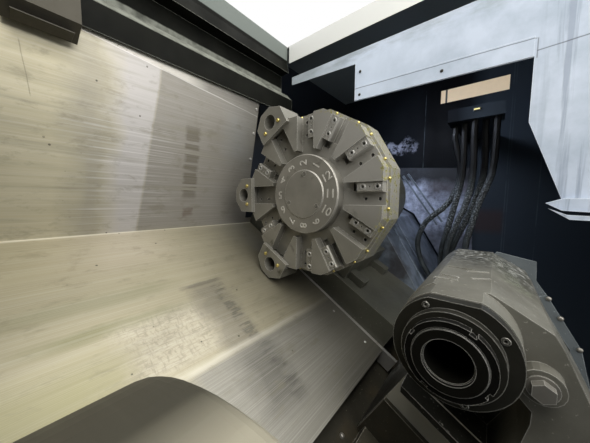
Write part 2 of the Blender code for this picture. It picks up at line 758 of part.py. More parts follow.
def make_spindle():
    axis = carrier("spindle", (-CHUCK_LENGTH, 0, 0), "machine")
    back = -CHUCK_LENGTH - GAP
    profile = [
        (SPINDLE_LEFT_X, SPINDLE_BORE),
        (SPINDLE_LEFT_X, SPINDLE_RADIUS),
        (back - SPINDLE_NOSE, SPINDLE_RADIUS),
        (back - SPINDLE_NOSE, SPINDLE_NOSE_RADIUS),
        (back, SPINDLE_NOSE_RADIUS),
        (back, SPINDLE_BORE),
    ]
    spindle = turned(SECTION, (0, 0), profile)
    pulley = turned(SECTION, (0, 0), pulley_profile(SPINDLE_BORE + OVERRUN, PULLEY_RADIUS))
    solid("spindle", [spindle], "bright_steel", axis, joins=[[pulley]])
    left = SPINDLE_LEFT_X - GAP
    profile = [
        (left - CYLINDER_LENGTH, SPINDLE_BORE),
        (left - CYLINDER_LENGTH, CYLINDER_HOUSING_RADIUS),
        (left - CYLINDER_LENGTH / 2, CYLINDER_HOUSING_RADIUS),
        (left - CYLINDER_LENGTH / 2, CYLINDER_RADIUS),
        (left, CYLINDER_RADIUS),
        (left, SPINDLE_BORE),
    ]
    solid("chuck_cylinder", [turned(SECTION, (0, 0), profile)], "turret_steel", axis)
    make_chuck(axis)


def pulley_profile(bore, radius):
    """A belt pulley's half section, with its V grooves."""
    profile = [(PULLEY_LEFT_X, bore), (PULLEY_LEFT_X, radius)]
    pitch = PULLEY_WIDTH / (PULLEY_GROOVES + 1)
    for k in range(PULLEY_GROOVES):
        middle = PULLEY_LEFT_X + pitch * (k + 1)
        profile.append((middle - PULLEY_GROOVE, radius))
        profile.append((middle, radius - PULLEY_GROOVE))
        profile.append((middle + PULLEY_GROOVE, radius))
    profile.append((PULLEY_LEFT_X + PULLEY_WIDTH, radius))
    profile.append((PULLEY_LEFT_X + PULLEY_WIDTH, bore))
    return profile


def make_chuck(axis):
    rim = [
        (-CHUCK_RIM_ROUND + x, CHUCK_RADIUS - CHUCK_RIM_ROUND + r)
        for x, r in arc((0, 0), CHUCK_RIM_ROUND, 90, 0, 5)
    ]
    profile = [(-CHUCK_LENGTH, CHUCK_BORE), (-CHUCK_LENGTH, CHUCK_RADIUS)] + rim + [(0, CHUCK_BORE)]
    slots = []
    for k in range(JAW_COUNT):
        slots.append([jaw_slot(k, 0)])
        slots.append([jaw_slot(k, 1)])
    solid("chuck_body", [turned(SECTION, (0, 0), profile, 96)], "chuck_steel", axis, cuts=slots)
    for k in range(JAW_COUNT):
        make_jaw(k)


def jaw_frame(k):
    turn = math.radians(JAW_FIRST_ANGLE + 360 * k / JAW_COUNT)
    outward = Y_AXIS * math.cos(turn) + Z_AXIS * math.sin(turn)
    return outward.cross(X_AXIS), X_AXIS, outward


def jaw_slot(k, part):
    """The neck of a jaw's T slot, or its foot."""
    depth = -JAW_DEPTH - GAP
    if part == 0:
        return block(jaw_frame(k), (-JAW_WIDTH / 2 - RUNNING_GAP, JAW_WIDTH / 2 + RUNNING_GAP), (depth, OVERRUN),
                     (0, CHUCK_RADIUS + OVERRUN))
    return block(jaw_frame(k), (-JAW_FOOT_WIDTH / 2 - RUNNING_GAP, JAW_FOOT_WIDTH / 2 + RUNNING_GAP),
                 (depth, depth + JAW_FOOT_DEPTH + RUNNING_GAP), (0, CHUCK_RADIUS + OVERRUN))


def make_jaw(k):
    """A master jaw: a T section that slides out and in, with two fixing grooves across its face."""
    axis = carrier("jaw_" + str(k + 1), (0, 0, 0), "spindle")
    width = JAW_WIDTH / 2
    foot = JAW_FOOT_WIDTH / 2
    shoulder = -JAW_DEPTH + JAW_FOOT_DEPTH
    outline = [
        (-foot, -JAW_DEPTH), (foot, -JAW_DEPTH), (foot, shoulder), (width, shoulder), (width, 0),
        (-width, 0), (-width, shoulder), (-foot, shoulder),
    ]
    body = prism(jaw_frame(k), outline, JAW_INNER_RADIUS, JAW_OUTER_RADIUS)
    length = JAW_OUTER_RADIUS - JAW_INNER_RADIUS
    grooves = []
    for share in JAW_GROOVE_SHARES:
        middle = JAW_INNER_RADIUS + length * share
        grooves.append(block(jaw_frame(k), (-width - OVERRUN, width + OVERRUN), (-JAW_GROOVE, OVERRUN),
                             (middle - JAW_GROOVE, middle + JAW_GROOVE)))
    solid("master_jaw_" + str(k + 1), [body], "black_oxide", axis, cuts=[grooves])


def belt_outline(reach):
    """The loop round both pulleys, at a given height above their rims."""
    span = Vector((MOTOR_Y, MOTOR_Z))
    lean = math.degrees(math.atan2(span.y, span.x))
    spread = math.degrees(math.acos((PULLEY_RADIUS - MOTOR_PULLEY_RADIUS) / span.length))
    big = arc((0, 0), PULLEY_RADIUS + reach, lean + spread, lean + 360 - spread, 24)
    small = arc((MOTOR_Y, MOTOR_Z), MOTOR_PULLEY_RADIUS + reach, lean - spread, lean + spread, 16)
    return big + small


def make_drive():
    belt = loop(SECTION, belt_outline(RUNNING_GAP), belt_outline(RUNNING_GAP + BELT_THICKNESS),
                PULLEY_LEFT_X, PULLEY_LEFT_X + PULLEY_WIDTH)
    solid("drive_belt", [belt], "rubber")
    axis = carrier("motor", (PULLEY_LEFT_X, MOTOR_Y, MOTOR_Z), "machine")
    profile = pulley_profile(MOTOR_SHAFT_RADIUS, MOTOR_PULLEY_RADIUS)
    shaft_right = BED_LEFT_X + MOTOR_BAY_WALL / 2
    profile[0] = (PULLEY_LEFT_X, 0)
    profile[-1] = (PULLEY_LEFT_X + PULLEY_WIDTH, MOTOR_SHAFT_RADIUS)
    profile += [(shaft_right - GAP, MOTOR_SHAFT_RADIUS), (shaft_right - GAP, 0)]
    solid("motor_pulley", [turned(SECTION, (MOTOR_Y, MOTOR_Z), profile)], "bright_steel", axis)
    solid("spindle_motor", [finned_motor((MOTOR_Y, MOTOR_Z), MOTOR_RADIUS, shaft_right, MOTOR_LENGTH)],
          "motor_paint")


def finned_motor(centre, radius, left, length):
    """A motor body with ribs along it."""
    outline = []
    for k in range(MOTOR_RIBS):
        for turn_share, height_share in MOTOR_RIB_SHARES:
            outline.append(spin(centre, radius * height_share, 360 * (k + turn_share) / MOTOR_RIBS))
    return prism(SECTION, outline, left, left + length)


def loop(frame, inner, outer, low, high):
    """A closed band between two outlines with as many points as each other."""
    across, up, along = frame
    count = len(inner)
    points = []
    for w in (low, high):
        for outline in (inner, outer):
            points += [across * u + up * v + along * w for u, v in outline]
    faces = []
    for k in range(count):
        after = (k + 1) % count
        faces.append([k, after, count + after, count + k])
        faces.append([2 * count + k, 2 * count + after, 3 * count + after, 3 * count + k])
        faces.append([k, after, 2 * count + after, 2 * count + k])
        faces.append([count + k, count + after, 3 * count + after, 3 * count + k])
    return points, faces


def make_carriage_screw():
    """The carriage's screw turns in the bed's channel, between two bearing bosses."""
    centre = (Z_SCREW_S, BED_N - Z_SCREW_DROP)
    axis = carrier("carriage_screw", slant_place(Z_SCREW_LEFT_X, *centre), "machine")
    solid("carriage_screw", [rod(SLANT, centre, BALLSCREW_RADIUS, Z_SCREW_LEFT_X, Z_SCREW_RIGHT_X, 24)],
          "bright_steel", axis)


def servo_part(centre):
    """The carriage's motor, set into the bed's end."""
    half = Z_CHANNEL_WIDTH / 2
    outline = [(centre[0] + half * u, centre[1] + half * v) for u, v in SERVO_CORNER_SHARES]
    return prism(SLANT, outline, Z_SCREW_RIGHT_X + Z_BEARING_LENGTH / 4, BED_RIGHT_X + SERVO_REACH)


def make_carriage():
    axis = carrier("carriage", slant_place(SADDLE_LEFT_X, Z_WAY_S[0], WAY_TOP_N), "machine")
    low = BED_N + SADDLE_CLEARANCE
    outline = [(SADDLE_FRONT_S, low)]
    for s in Z_WAY_S:
        left = s - RUNNING_GAP
        right = s + WAY_WIDTH + RUNNING_GAP
        top = WAY_TOP_N + GAP
        outline += [(left, low), (left, top), (right, top), (right, low)]
    outline += [(SADDLE_REAR_S, low), (SADDLE_REAR_S, SADDLE_TOP_N), (SADDLE_FRONT_S, SADDLE_TOP_N)]
    centre = (Z_SCREW_S, BED_N - Z_SCREW_DROP)
    nut_left = (SADDLE_LEFT_X + SADDLE_RIGHT_X - NUT_LENGTH) / 2
    nut = block(SLANT, (Z_SCREW_S - NUT_RADIUS, Z_SCREW_S + NUT_RADIUS),
                (centre[1] - NUT_RADIUS, low + OVERRUN), (nut_left, nut_left + NUT_LENGTH))
    bore = rod(SLANT, centre, BALLSCREW_RADIUS + GAP, nut_left - OVERRUN, nut_left + NUT_LENGTH + OVERRUN, 24)
    ways = []
    for x in (X_WAY_FIRST_X, X_WAY_SECOND_X):
        ways.append(block(SLANT, (X_WAY_FRONT_S, X_WAY_REAR_S),
                          (SADDLE_TOP_N - OVERRUN, SADDLE_TOP_N + WAY_HEIGHT), (x, x + WAY_WIDTH)))
    solid("saddle", [prism(SLANT, outline, SADDLE_LEFT_X, SADDLE_RIGHT_X)], "casting", axis,
          joins=[[nut] + ways], cuts=[[bore]])
    plate = [
        (WIPER_FRONT_S, BED_N + SADDLE_CLEARANCE),
        (Z_WAY_S[0] - RUNNING_GAP, BED_N + SADDLE_CLEARANCE),
        (Z_WAY_S[0] - RUNNING_GAP, WAY_TOP_N + GAP),
        (Z_WAY_S[0] + WAY_WIDTH + RUNNING_GAP, WAY_TOP_N + GAP),
        (Z_WAY_S[0] + WAY_WIDTH + RUNNING_GAP, BED_N + SADDLE_CLEARANCE),
        (Z_WAY_S[1] - RUNNING_GAP, BED_N + SADDLE_CLEARANCE),
        (Z_WAY_S[1] - RUNNING_GAP, COVER_N),
        (WIPER_FRONT_S, COVER_N),
    ]
    right = SADDLE_LEFT_X - GAP
    solid("wiper_plate", [prism(SLANT, plate, right - WIPER_PLATE, right)], "bright_steel", axis)
    make_left_cover(axis, right - WIPER_PLATE - GAP)
    make_right_covers(axis)
    make_cross_slide()


def make_left_cover(axis, right):
    fold = slant(COVER_FOLD_S, COVER_N)
    front = slant(COVER_FRONT_S, COVER_N)
    front_low = slant(COVER_FRONT_S, COVER_N - COVER_LIP)
    top = (COVER_TOP_Y, COVER_TOP_Z)
    back = (COVER_TOP_Y + COVER_LIP, COVER_TOP_Z)
    outline = sheet([back, top, fold, front, front_low], COVER_SHEET)
    corner = block(
        SECTION,
        (COVER_TOP_Y - OVERRUN, fold[0] + OVERRUN + COVER_LIP),
        (fold[1] + COVER_LIP, COVER_TOP_Z + OVERRUN),
        (COVER_UPPER_RIGHT_X, right + OVERRUN),
    )
    solid("left_way_cover", [prism(SECTION, outline, COVER_LEFT_X, right)], "stainless", axis, cuts=[[corner]])


def right_cover_outline(nest):
    """A telescopic segment's section: a steep front over the screw, a flat top and a rear wall."""
    lean = math.atan2(RIGHT_COVER_TOP_N - RIGHT_COVER_FRONT_N, RIGHT_COVER_SHOULDER_S - COVER_FRONT_S)
    rise = nest / math.cos(lean)
    drop = nest * math.tan(lean)
    low = WAY_TOP_N + GAP
    return [
        (RIGHT_COVER_REAR_S + nest, low),
        (RIGHT_COVER_REAR_S + nest, RIGHT_COVER_TOP_N + nest),
        (RIGHT_COVER_SHOULDER_S + (nest - rise) / math.tan(lean), RIGHT_COVER_TOP_N + nest),
        (COVER_FRONT_S - nest, RIGHT_COVER_FRONT_N + rise - drop),
        (COVER_FRONT_S - nest, low),
    ]


def make_right_covers(axis):
    names = ("right_cover_inner", "right_cover_middle", "right_cover_outer")
    place = slant_place(RIGHT_COVER_X + RIGHT_COVER_STEP, COVER_FRONT_S, WAY_TOP_N)
    middle = carrier("right_cover", place, "machine")
    carriers = (axis, middle, None)
    left = RIGHT_COVER_X
    for k, name in enumerate(names):
        outline = sheet(right_cover_outline((COVER_SHEET + GAP) * k), COVER_SHEET)
        if k == 2:
            left = END_WALL_X - GAP - RIGHT_COVER_LENGTHS[k]
        flange = prism(SLANT, right_cover_outline(0), SADDLE_RIGHT_X + GAP, RIGHT_COVER_X + COVER_SHEET)
        solid(name, [prism(SLANT, outline, left, left + RIGHT_COVER_LENGTHS[k])], "blue_grey_paint", carriers[k],
              joins=[[flange]] if k == 0 else [])
        left += RIGHT_COVER_STEP


def make_cross_slide():
    axis = carrier("cross_slide", slant_place(X_WAY_FIRST_X, CROSS_FRONT_S, SADDLE_TOP_N), "carriage")
    low = SADDLE_TOP_N + CROSS_CLEARANCE
    top = SADDLE_TOP_N + WAY_HEIGHT + GAP
    outline = [(CROSS_LEFT_X, low)]
    for x in (X_WAY_FIRST_X, X_WAY_SECOND_X):
        left = x - RUNNING_GAP
        right = x + WAY_WIDTH + RUNNING_GAP
        outline += [(left, low), (left, top), (right, top), (right, low)]
    outline += [(CROSS_RIGHT_X, low), (CROSS_RIGHT_X, CROSS_TOP_N), (CROSS_LEFT_X, CROSS_TOP_N)]
    middle = (X_WAY_FIRST_X + WAY_WIDTH + X_WAY_SECOND_X) / 2
    screw_n = (SADDLE_TOP_N + CROSS_TOP_N) / 2
    solid("cross_slide", [prism(CROSS, outline, CROSS_FRONT_S, CROSS_REAR_S)], "casting", axis)
    half = SERVO_SIZE / 2
    motor_s = CROSS_REAR_S + X_TRAVEL[1] + OVERRUN
    motor = block(CROSS, (middle - half, middle + half), (SADDLE_TOP_N - half, screw_n + half),
                  (motor_s, motor_s + X_MOTOR_LENGTH))
    shelf = block(CROSS, (middle - half, middle + half), (SADDLE_TOP_N - half, SADDLE_TOP_N - OVERRUN),
                  (SADDLE_REAR_S + GAP, motor_s + OVERRUN))
    solid("cross_motor", [motor], "motor_paint", CARRIERS["carriage"], joins=[[shelf]])
    make_turret(axis)


def station_flats(flat, sides=STATIONS):
    radius = flat / math.cos(math.pi / sides)
    return circle((TURRET_S, TURRET_N), radius, sides, 180 / sides)


def radial_frame(station):
    """Axes at a turret station: across the slot, along the spindle line, and outward."""
    turn = math.radians(360 * station / STATIONS)
    outward = -S_AXIS * math.cos(turn) + N_AXIS * math.sin(turn)
    return outward.cross(X_AXIS), X_AXIS, outward


def at_station(part):
    """Moves a part that was made about the spindle line to the turret's axis."""
    points, faces = part
    shift = S_AXIS * TURRET_S + N_AXIS * TURRET_N
    return [point + shift for point in points], faces


def make_turret(slide_axis):
    axis = carrier("turret", slant_place(TURRET_FACE_X, TURRET_S, TURRET_N), "cross_slide")
    floor = TURRET_FACE_X + TURRET_RAISE
    front_layer = [prism(SLANT, station_flats(STATION_FLAT), TURRET_FACE_X, floor + OVERRUN)]
    body = prism(SLANT, station_flats(TURRET_RIM_FLAT), floor + OVERRUN / 2, TURRET_BACK_X)
    slots = []
    for station in range(STATIONS):
        slots.append([at_station(block(radial_frame(station), (-SLOT_WIDTH / 2, SLOT_WIDTH / 2),
                                       (TURRET_FACE_X - OVERRUN, floor),
                                       (SLOT_FLOOR_RADIUS / 2, TURRET_RIM_FLAT + OVERRUN)))])
    middle = rod(SLANT, (TURRET_S, TURRET_N), SLOT_FLOOR_RADIUS, TURRET_FACE_X - OVERRUN, floor, 60)
    clamps, screws, sockets = clamp_parts(floor)
    solid("turret_disc", [body], "turret_steel", axis, joins=[front_layer],
          cuts=slots + [[middle], *slot_floor_parts(floor)], fittings=[clamps], recesses=[screws, sockets])
    make_hub(axis, floor)
    make_holders(axis)
    make_housing(slide_axis)


def make_hub(axis, floor):
    front = floor - HUB_RAISE
    profile = [
        (floor - GAP, 0),
        (floor - GAP, HUB_RADIUS),
        (front + CAP_RAISE, HUB_RADIUS),
        (front, HUB_RADIUS - CAP_RAISE),
        (front, CAP_RADIUS + CAP_RAISE),
        (front - CAP_RAISE, CAP_RADIUS),
        (front - CAP_RAISE, 0),
    ]
    screws = []
    for k in range(CAP_SCREWS):
        centre = spin((TURRET_S, TURRET_N), CAP_SCREW_RING, CAP_SCREW_ANGLE + 360 * k / CAP_SCREWS)
        screws.append(rod(SLANT, centre, CAP_SCREW_RADIUS, front - OVERRUN, front + CAP_SCREW_RADIUS, 16))
    solid("turret_hub", [turned(SLANT, (TURRET_S, TURRET_N), profile, 72)], "turret_steel", axis, cuts=[screws])


def clamp_side(station):
    """The slot's side that its clamp lies on: forwards round the turret, or backwards."""
    return -1 if station in CLAMP_TURNED_STATIONS else 1


def clamp_span(side, near, far):
    """A pair of places across a slot, in order, on the clamp's side or off it."""
    return tuple(sorted((side * near, side * far)))


def slot_floor_parts(floor):
    """Holes in each slot's open half, a pocket behind each clamp, and the deeper grooves."""
    hollows = []
    holes = []
    wall = SLOT_WIDTH / 2 - CLAMP_SEAT
    inner_edge = wall - CLAMP_WIDTH
    for station in range(STATIONS):
        across, _, outward = radial_frame(station)
        frame = (across, outward, X_AXIS)
        side = clamp_side(station)
        clamped = station not in HOLDER_STATIONS
        floor_depth = floor
        if station in GROOVE_STATIONS:
            floor_depth = floor + GROOVE_DEPTH
            hollows.append(at_station(block(frame, clamp_span(side, -wall, inner_edge),
                                            (CLAMP_INNER_RADIUS, TURRET_RIM_FLAT + OVERRUN),
                                            (floor - OVERRUN, floor_depth))))
        if clamped:
            hollows.append(at_station(block(frame, clamp_span(side, wall - CLAMP_POCKET, wall),
                                            (CLAMP_INNER_RADIUS - CLAMP_POCKET, CLAMP_INNER_RADIUS - CLAMP_CHAMFER),
                                            (floor - OVERRUN, floor + CLAMP_POCKET_DEPTH))))
        for share in CLAMP_SCREW_SHARES:
            offset = SLOT_HOLE_OFFSET * (-side if clamped else side)
            centre = (offset, CLAMP_INNER_RADIUS + CLAMP_LENGTH * share)
            holes.append(at_station(rod(frame, centre, SLOT_HOLE_RADIUS, floor_depth - OVERRUN / 2,
                                        floor + SLOT_HOLE_DEPTH, 10)))
    return hollows, holes


def clamp_parts(floor):
    """The clamp block against one wall of a slot, with two sunk cap screws and a set screw's hole."""
    clamps = []
    screws = []
    sockets = []
    outer_edge = SLOT_WIDTH / 2 + CLAMP_SEAT
    inner_edge = SLOT_WIDTH / 2 - CLAMP_WIDTH
    top = floor - CLAMP_HEIGHT
    outline = [
        (inner_edge, floor + CLAMP_SEAT),
        (outer_edge, floor + CLAMP_SEAT),
        (outer_edge, top),
        (inner_edge + CLAMP_CHAMFER, top),
        (inner_edge, top + CLAMP_CHAMFER),
    ]
    first, last = CLAMP_SCREW_SHARES
    for station in range(STATIONS):
        if station in HOLDER_STATIONS:
            continue
        across, _, outward = radial_frame(station)
        across = across * clamp_side(station)
        clamps.append(at_station(prism((across, X_AXIS, outward), outline, CLAMP_INNER_RADIUS,
                                       CLAMP_INNER_RADIUS + CLAMP_LENGTH)))
        frame = (across, outward, X_AXIS)
        middle = SLOT_WIDTH / 2 - CLAMP_WIDTH / 2
        for share in CLAMP_SCREW_SHARES:
            centre = (middle, CLAMP_INNER_RADIUS + CLAMP_LENGTH * share)
            screws.append(at_station(rod(frame, centre, CLAMP_SCREW_RADIUS, top - OVERRUN,
                                         top + CLAMP_SCREW_SUNK, 12)))
            sockets.append(at_station(rod(frame, centre, CLAMP_SOCKET_RADIUS, top - OVERRUN,
                                          top + CLAMP_SCREW_SUNK + CLAMP_SCREW_HEAD, 6)))
        centre = (middle, CLAMP_INNER_RADIUS + CLAMP_LENGTH * (first + last) / 2)
        sockets.append(at_station(rod(frame, centre, CLAMP_STOP_RADIUS, top - OVERRUN,
                                      top + CLAMP_SCREW_HEAD, 6)))
    return clamps, screws, sockets


def make_holders(axis):
    """Three boring bar holders on the rim, each with a plate over the turret's face and a through bore."""
    seat = TURRET_RIM_FLAT + GAP
    half = HOLDER_HALF_WIDTH
    right = HOLDER_LEFT_X + HOLDER_LENGTH
    outline = [
        (-half, HOLDER_PLATE_SEAT),
        (half, HOLDER_PLATE_SEAT),
        (half, HOLDER_SHOULDER),
        (HOLDER_NOSE_HALF_WIDTH, HOLDER_REACH),
        (-HOLDER_NOSE_HALF_WIDTH, HOLDER_REACH),
        (-half, HOLDER_SHOULDER),
    ]
    for index, station in enumerate(HOLDER_STATIONS):
        across, _, outward = radial_frame(station)
        frame = (across, outward, X_AXIS)
        body = at_station(prism(frame, outline, HOLDER_LEFT_X, right))
        bore = at_station(rod(frame, (0, HOLDER_RING), HOLDER_BORE_RADIUS, HOLDER_LEFT_X - OVERRUN,
                              right + OVERRUN, 32))
        step = at_station(block(frame, (-half - OVERRUN, half + OVERRUN), (HOLDER_PLATE_SEAT - OVERRUN, seat),
                                (TURRET_FACE_X - GAP, right + OVERRUN)))
        solid("boring_holder_" + str(index + 1), [body], "turret_steel", axis, cuts=[[step], [bore]])


def make_housing(axis):
    low = CROSS_TOP_N + GAP
    centre = (TURRET_S, TURRET_N)
    outline = [(TURRET_S - HOUSING_RADIUS, low), (TURRET_S + HOUSING_RADIUS, low)]
    outline += arc(centre, HOUSING_RADIUS, 0, 180, 20)
    left = TURRET_BACK_X + TURRET_BOSS_LENGTH
    boss = rod(SLANT, centre, TURRET_BOSS_RADIUS, TURRET_BACK_X + GAP, left + OVERRUN, 40)
    motor = rod(SLANT, (TURRET_S, TURRET_MOTOR_N), TURRET_MOTOR_RADIUS, HOUSING_RIGHT_X - OVERRUN,
                HOUSING_RIGHT_X + TURRET_MOTOR_LENGTH, 24)
    solid("turret_housing", [prism(SLANT, outline, left, HOUSING_RIGHT_X)], "casting", axis,
          joins=[[boss], [motor]])


def tail_section():
    """The tailstock casting's upper section: round behind, level on top, sloping to the front."""
    under = TAIL_BASE_TOP_N - OVERRUN
    back = arc((0, 0), TAIL_CYLINDER_RADIUS, *TAIL_ROUND_ANGLES, 10)
    crest_s = (TAIL_TOP_Z - TAIL_FLAT_N * COS_BED) / SIN_BED
    front = [(crest_s, TAIL_FLAT_N), (TAIL_FLAT_FRONT_S, TAIL_FLAT_N), *TAIL_FRONT_OUTLINE]
    return back + front + [(TAIL_BASE_FRONT_S + SHEET, under), (TAIL_BASE_REAR_S - SHEET, under)]


def make_tailstock():
    axis = carrier("tailstock", slant_place(TAIL_BASE_LEFT_X, TAIL_WAY_S[0], WAY_TOP_N), "machine")
    low = BED_N + SADDLE_CLEARANCE
    base = [(TAIL_BASE_FRONT_S, low)]
    for s in TAIL_WAY_S:
        left = s - RUNNING_GAP
        right = s + WAY_WIDTH + RUNNING_GAP
        top = WAY_TOP_N + GAP
        base += [(left, low), (left, top), (right, top), (right, low)]
    base += [(TAIL_BASE_REAR_S, low), (TAIL_BASE_REAR_S, TAIL_BASE_TOP_N), (TAIL_BASE_FRONT_S, TAIL_BASE_TOP_N)]
    flange_right = FLANGE_LEFT_X + FLANGE_WIDTH
    span = math.degrees(math.asin(TAIL_TOP_Z / TAIL_NOSE_RADIUS))
    nose = prism(SECTION, arc((0, 0), TAIL_NOSE_RADIUS, 180 - span, 360 + span, 40), flange_right + GAP,
                 TAIL_SHOULDER_X + OVERRUN)
    start, end = TAIL_POCKET_ANGLES
    hollow = [*TAIL_POCKET_EDGE, *arc((0, 0), TAIL_CYLINDER_RADIUS + SHEET / 2, start, end, 10)]
    hollow += [(TAIL_POCKET_REAR_S, hollow[-1][1]), (TAIL_POCKET_REAR_S, TAIL_POCKET_EDGE[0][1])]
    pocket = prism(SLANT, hollow, TAIL_SHOULDER_X - OVERRUN, TAIL_SHOULDER_X + TAIL_POCKET_DEPTH)
    bolt_centre = (TAIL_BOLT_S, TAIL_BOLT_N)
    boss = rod(SLANT, bolt_centre, TAIL_BOLT_BOSS_RADIUS, TAIL_SHOULDER_X - TAIL_BOLT_BOSS,
               TAIL_SHOULDER_X + OVERRUN, 20)
    bore = rod(SECTION, (0, 0), QUILL_RADIUS + RUNNING_GAP, flange_right - OVERRUN, QUILL_RIGHT_X + OVERRUN, 48)
    solid("tailstock_body", [prism(SLANT, tail_section(), TAIL_SHOULDER_X, TAIL_RIGHT_X)], "casting", axis,
          joins=[[prism(SLANT, base, TAIL_BASE_LEFT_X, TAIL_RIGHT_X - SHEET)], [nose], [boss]],
          cuts=[[pocket], [bore]])
    make_tail_front(axis, flange_right, bolt_centre)
    make_tail_end(axis)
    make_quill()


def make_tail_front(axis, flange_right, bolt_centre):
    ring_right = NUT_RING_LEFT_X + NUT_RING_WIDTH
    span = math.degrees(math.asin(FLANGE_FLAT_Z / FLANGE_RADIUS))
    outline = arc((0, 0), FLANGE_RADIUS, 180 - span, 360 + span, 44)
    bore = rod(SECTION, (0, 0), QUILL_RADIUS + RUNNING_GAP, ring_right - OVERRUN, flange_right + OVERRUN, 48)
    step = rod(SECTION, (0, 0), FLANGE_STEP_RADIUS, ring_right + GAP, FLANGE_LEFT_X + FLANGE_WIDTH / 2, 48)
    solid("tailstock_flange", [prism(SECTION, outline, FLANGE_LEFT_X, flange_right)], "black_oxide", axis,
          joins=[[step]], cuts=[[bore]])
    slots = []
    for k in range(NUT_RING_SLOTS):
        turn = math.radians(BED_ANGLE + 360 * k / NUT_RING_SLOTS)
        outward = Y_AXIS * math.cos(turn) + Z_AXIS * math.sin(turn)
        slots.append(block((outward.cross(X_AXIS), X_AXIS, outward),
                           (-NUT_RING_SLOT_WIDTH / 2, NUT_RING_SLOT_WIDTH / 2),
                           (NUT_RING_LEFT_X - OVERRUN, ring_right + OVERRUN),
                           (NUT_RING_RADIUS - NUT_RING_SLOT_DEPTH, NUT_RING_RADIUS + OVERRUN)))
    solid("quill_ring_nut", [tube(SECTION, (0, 0), NUT_RING_RADIUS, QUILL_RADIUS + RUNNING_GAP,
                                  NUT_RING_LEFT_X, ring_right)], "black_oxide", axis, cuts=[slots])
    face = TAIL_SHOULDER_X - TAIL_BOLT_BOSS - GAP
    washer = rod(SLANT, bolt_centre, BOLT_WASHER_RADIUS, face - BOLT_WASHER, face, 24)
    head = rod(SLANT, bolt_centre, BOLT_HEAD_RADIUS, face - BOLT_WASHER - BOLT_HEAD, face - BOLT_WASHER / 2, 6)
    solid("tailstock_bolt", [washer], "turret_steel", axis, joins=[[head]])
    right = TAIL_BASE_LEFT_X - GAP
    low = BED_N + SADDLE_CLEARANCE
    plate = [(TAIL_BASE_FRONT_S, low)]
    for s in TAIL_WAY_S:
        left_edge = s - RUNNING_GAP
        right_edge = s + WAY_WIDTH + RUNNING_GAP
        plate += [(left_edge, low), (left_edge, WAY_TOP_N + GAP), (right_edge, WAY_TOP_N + GAP), (right_edge, low)]
    plate += [(TAIL_BASE_REAR_S, low), (TAIL_BASE_REAR_S, TAIL_WIPER_STEP_N), (TAIL_BASE_FRONT_S, TAIL_WIPER_STEP_N)]
    solid("tailstock_wiper", [prism(SLANT, plate, right - TAIL_WIPER, right)], "bright_steel", axis)


def make_tail_end(axis):
    """The end plate stands proud of the casting all round."""
    left = TAIL_RIGHT_X + GAP
    solid("tailstock_end_plate", [prism(SLANT, END_PLATE_OUTLINE, left, left + END_PLATE)], "blue_grey_paint", axis)


def make_quill():
    axis = carrier("quill", (QUILL_LEFT_X, 0, 0), "tailstock")
    deep = QUILL_LEFT_X + QUILL_BORE_DEPTH
    profile = [
        (QUILL_LEFT_X, QUILL_BORE),
        (QUILL_LEFT_X, QUILL_RADIUS - QUILL_LIP),
        (QUILL_LEFT_X + QUILL_LIP, QUILL_RADIUS),
        (QUILL_RIGHT_X, QUILL_RADIUS),
        (QUILL_RIGHT_X, QUILL_BACK_BORE),
        (deep, QUILL_BACK_BORE),
        (deep, QUILL_BORE * QUILL_TAPER_SHARES[1]),
        (QUILL_LEFT_X + QUILL_SEAT_DEPTH, QUILL_BORE * QUILL_TAPER_SHARES[0]),
        (QUILL_LEFT_X + QUILL_SEAT_DEPTH, QUILL_BORE),
    ]
    solid("quill", [turned(SECTION, (0, 0), profile, 64)], "bright_steel", axis)


def make_header():
    """The rear header: an apron over the sheet's top, a ledge, a recess, a lip and the top face."""
    top = ROOF_Z
    lip_back = HEADER_LIP_Y + HEADER_C_SETBACK
    points = [
        (HEADER_BACK_Y, top),
        (lip_back, top),
        (lip_back, HEADER_C_Z),
        (HEADER_LIP_Y, HEADER_B_Z),
        (HEADER_RECESS_Y, HEADER_B_Z),
        (HEADER_RECESS_Y, HEADER_A_Z),
        (HEADER_LEDGE_Y, HEADER_A_Z),
        (HEADER_APRON_Y, HEADER_A_Z - (HEADER_LEDGE_Y - HEADER_APRON_Y)),
        (HEADER_APRON_Y, HEADER_APRON_Z),
    ]
    outline = sheet(points, SHEET)
    solid("rear_header", [prism(SECTION, outline, DOORWAY_LEFT_X, DOORWAY_RIGHT_X - GAP)], "header_paint")


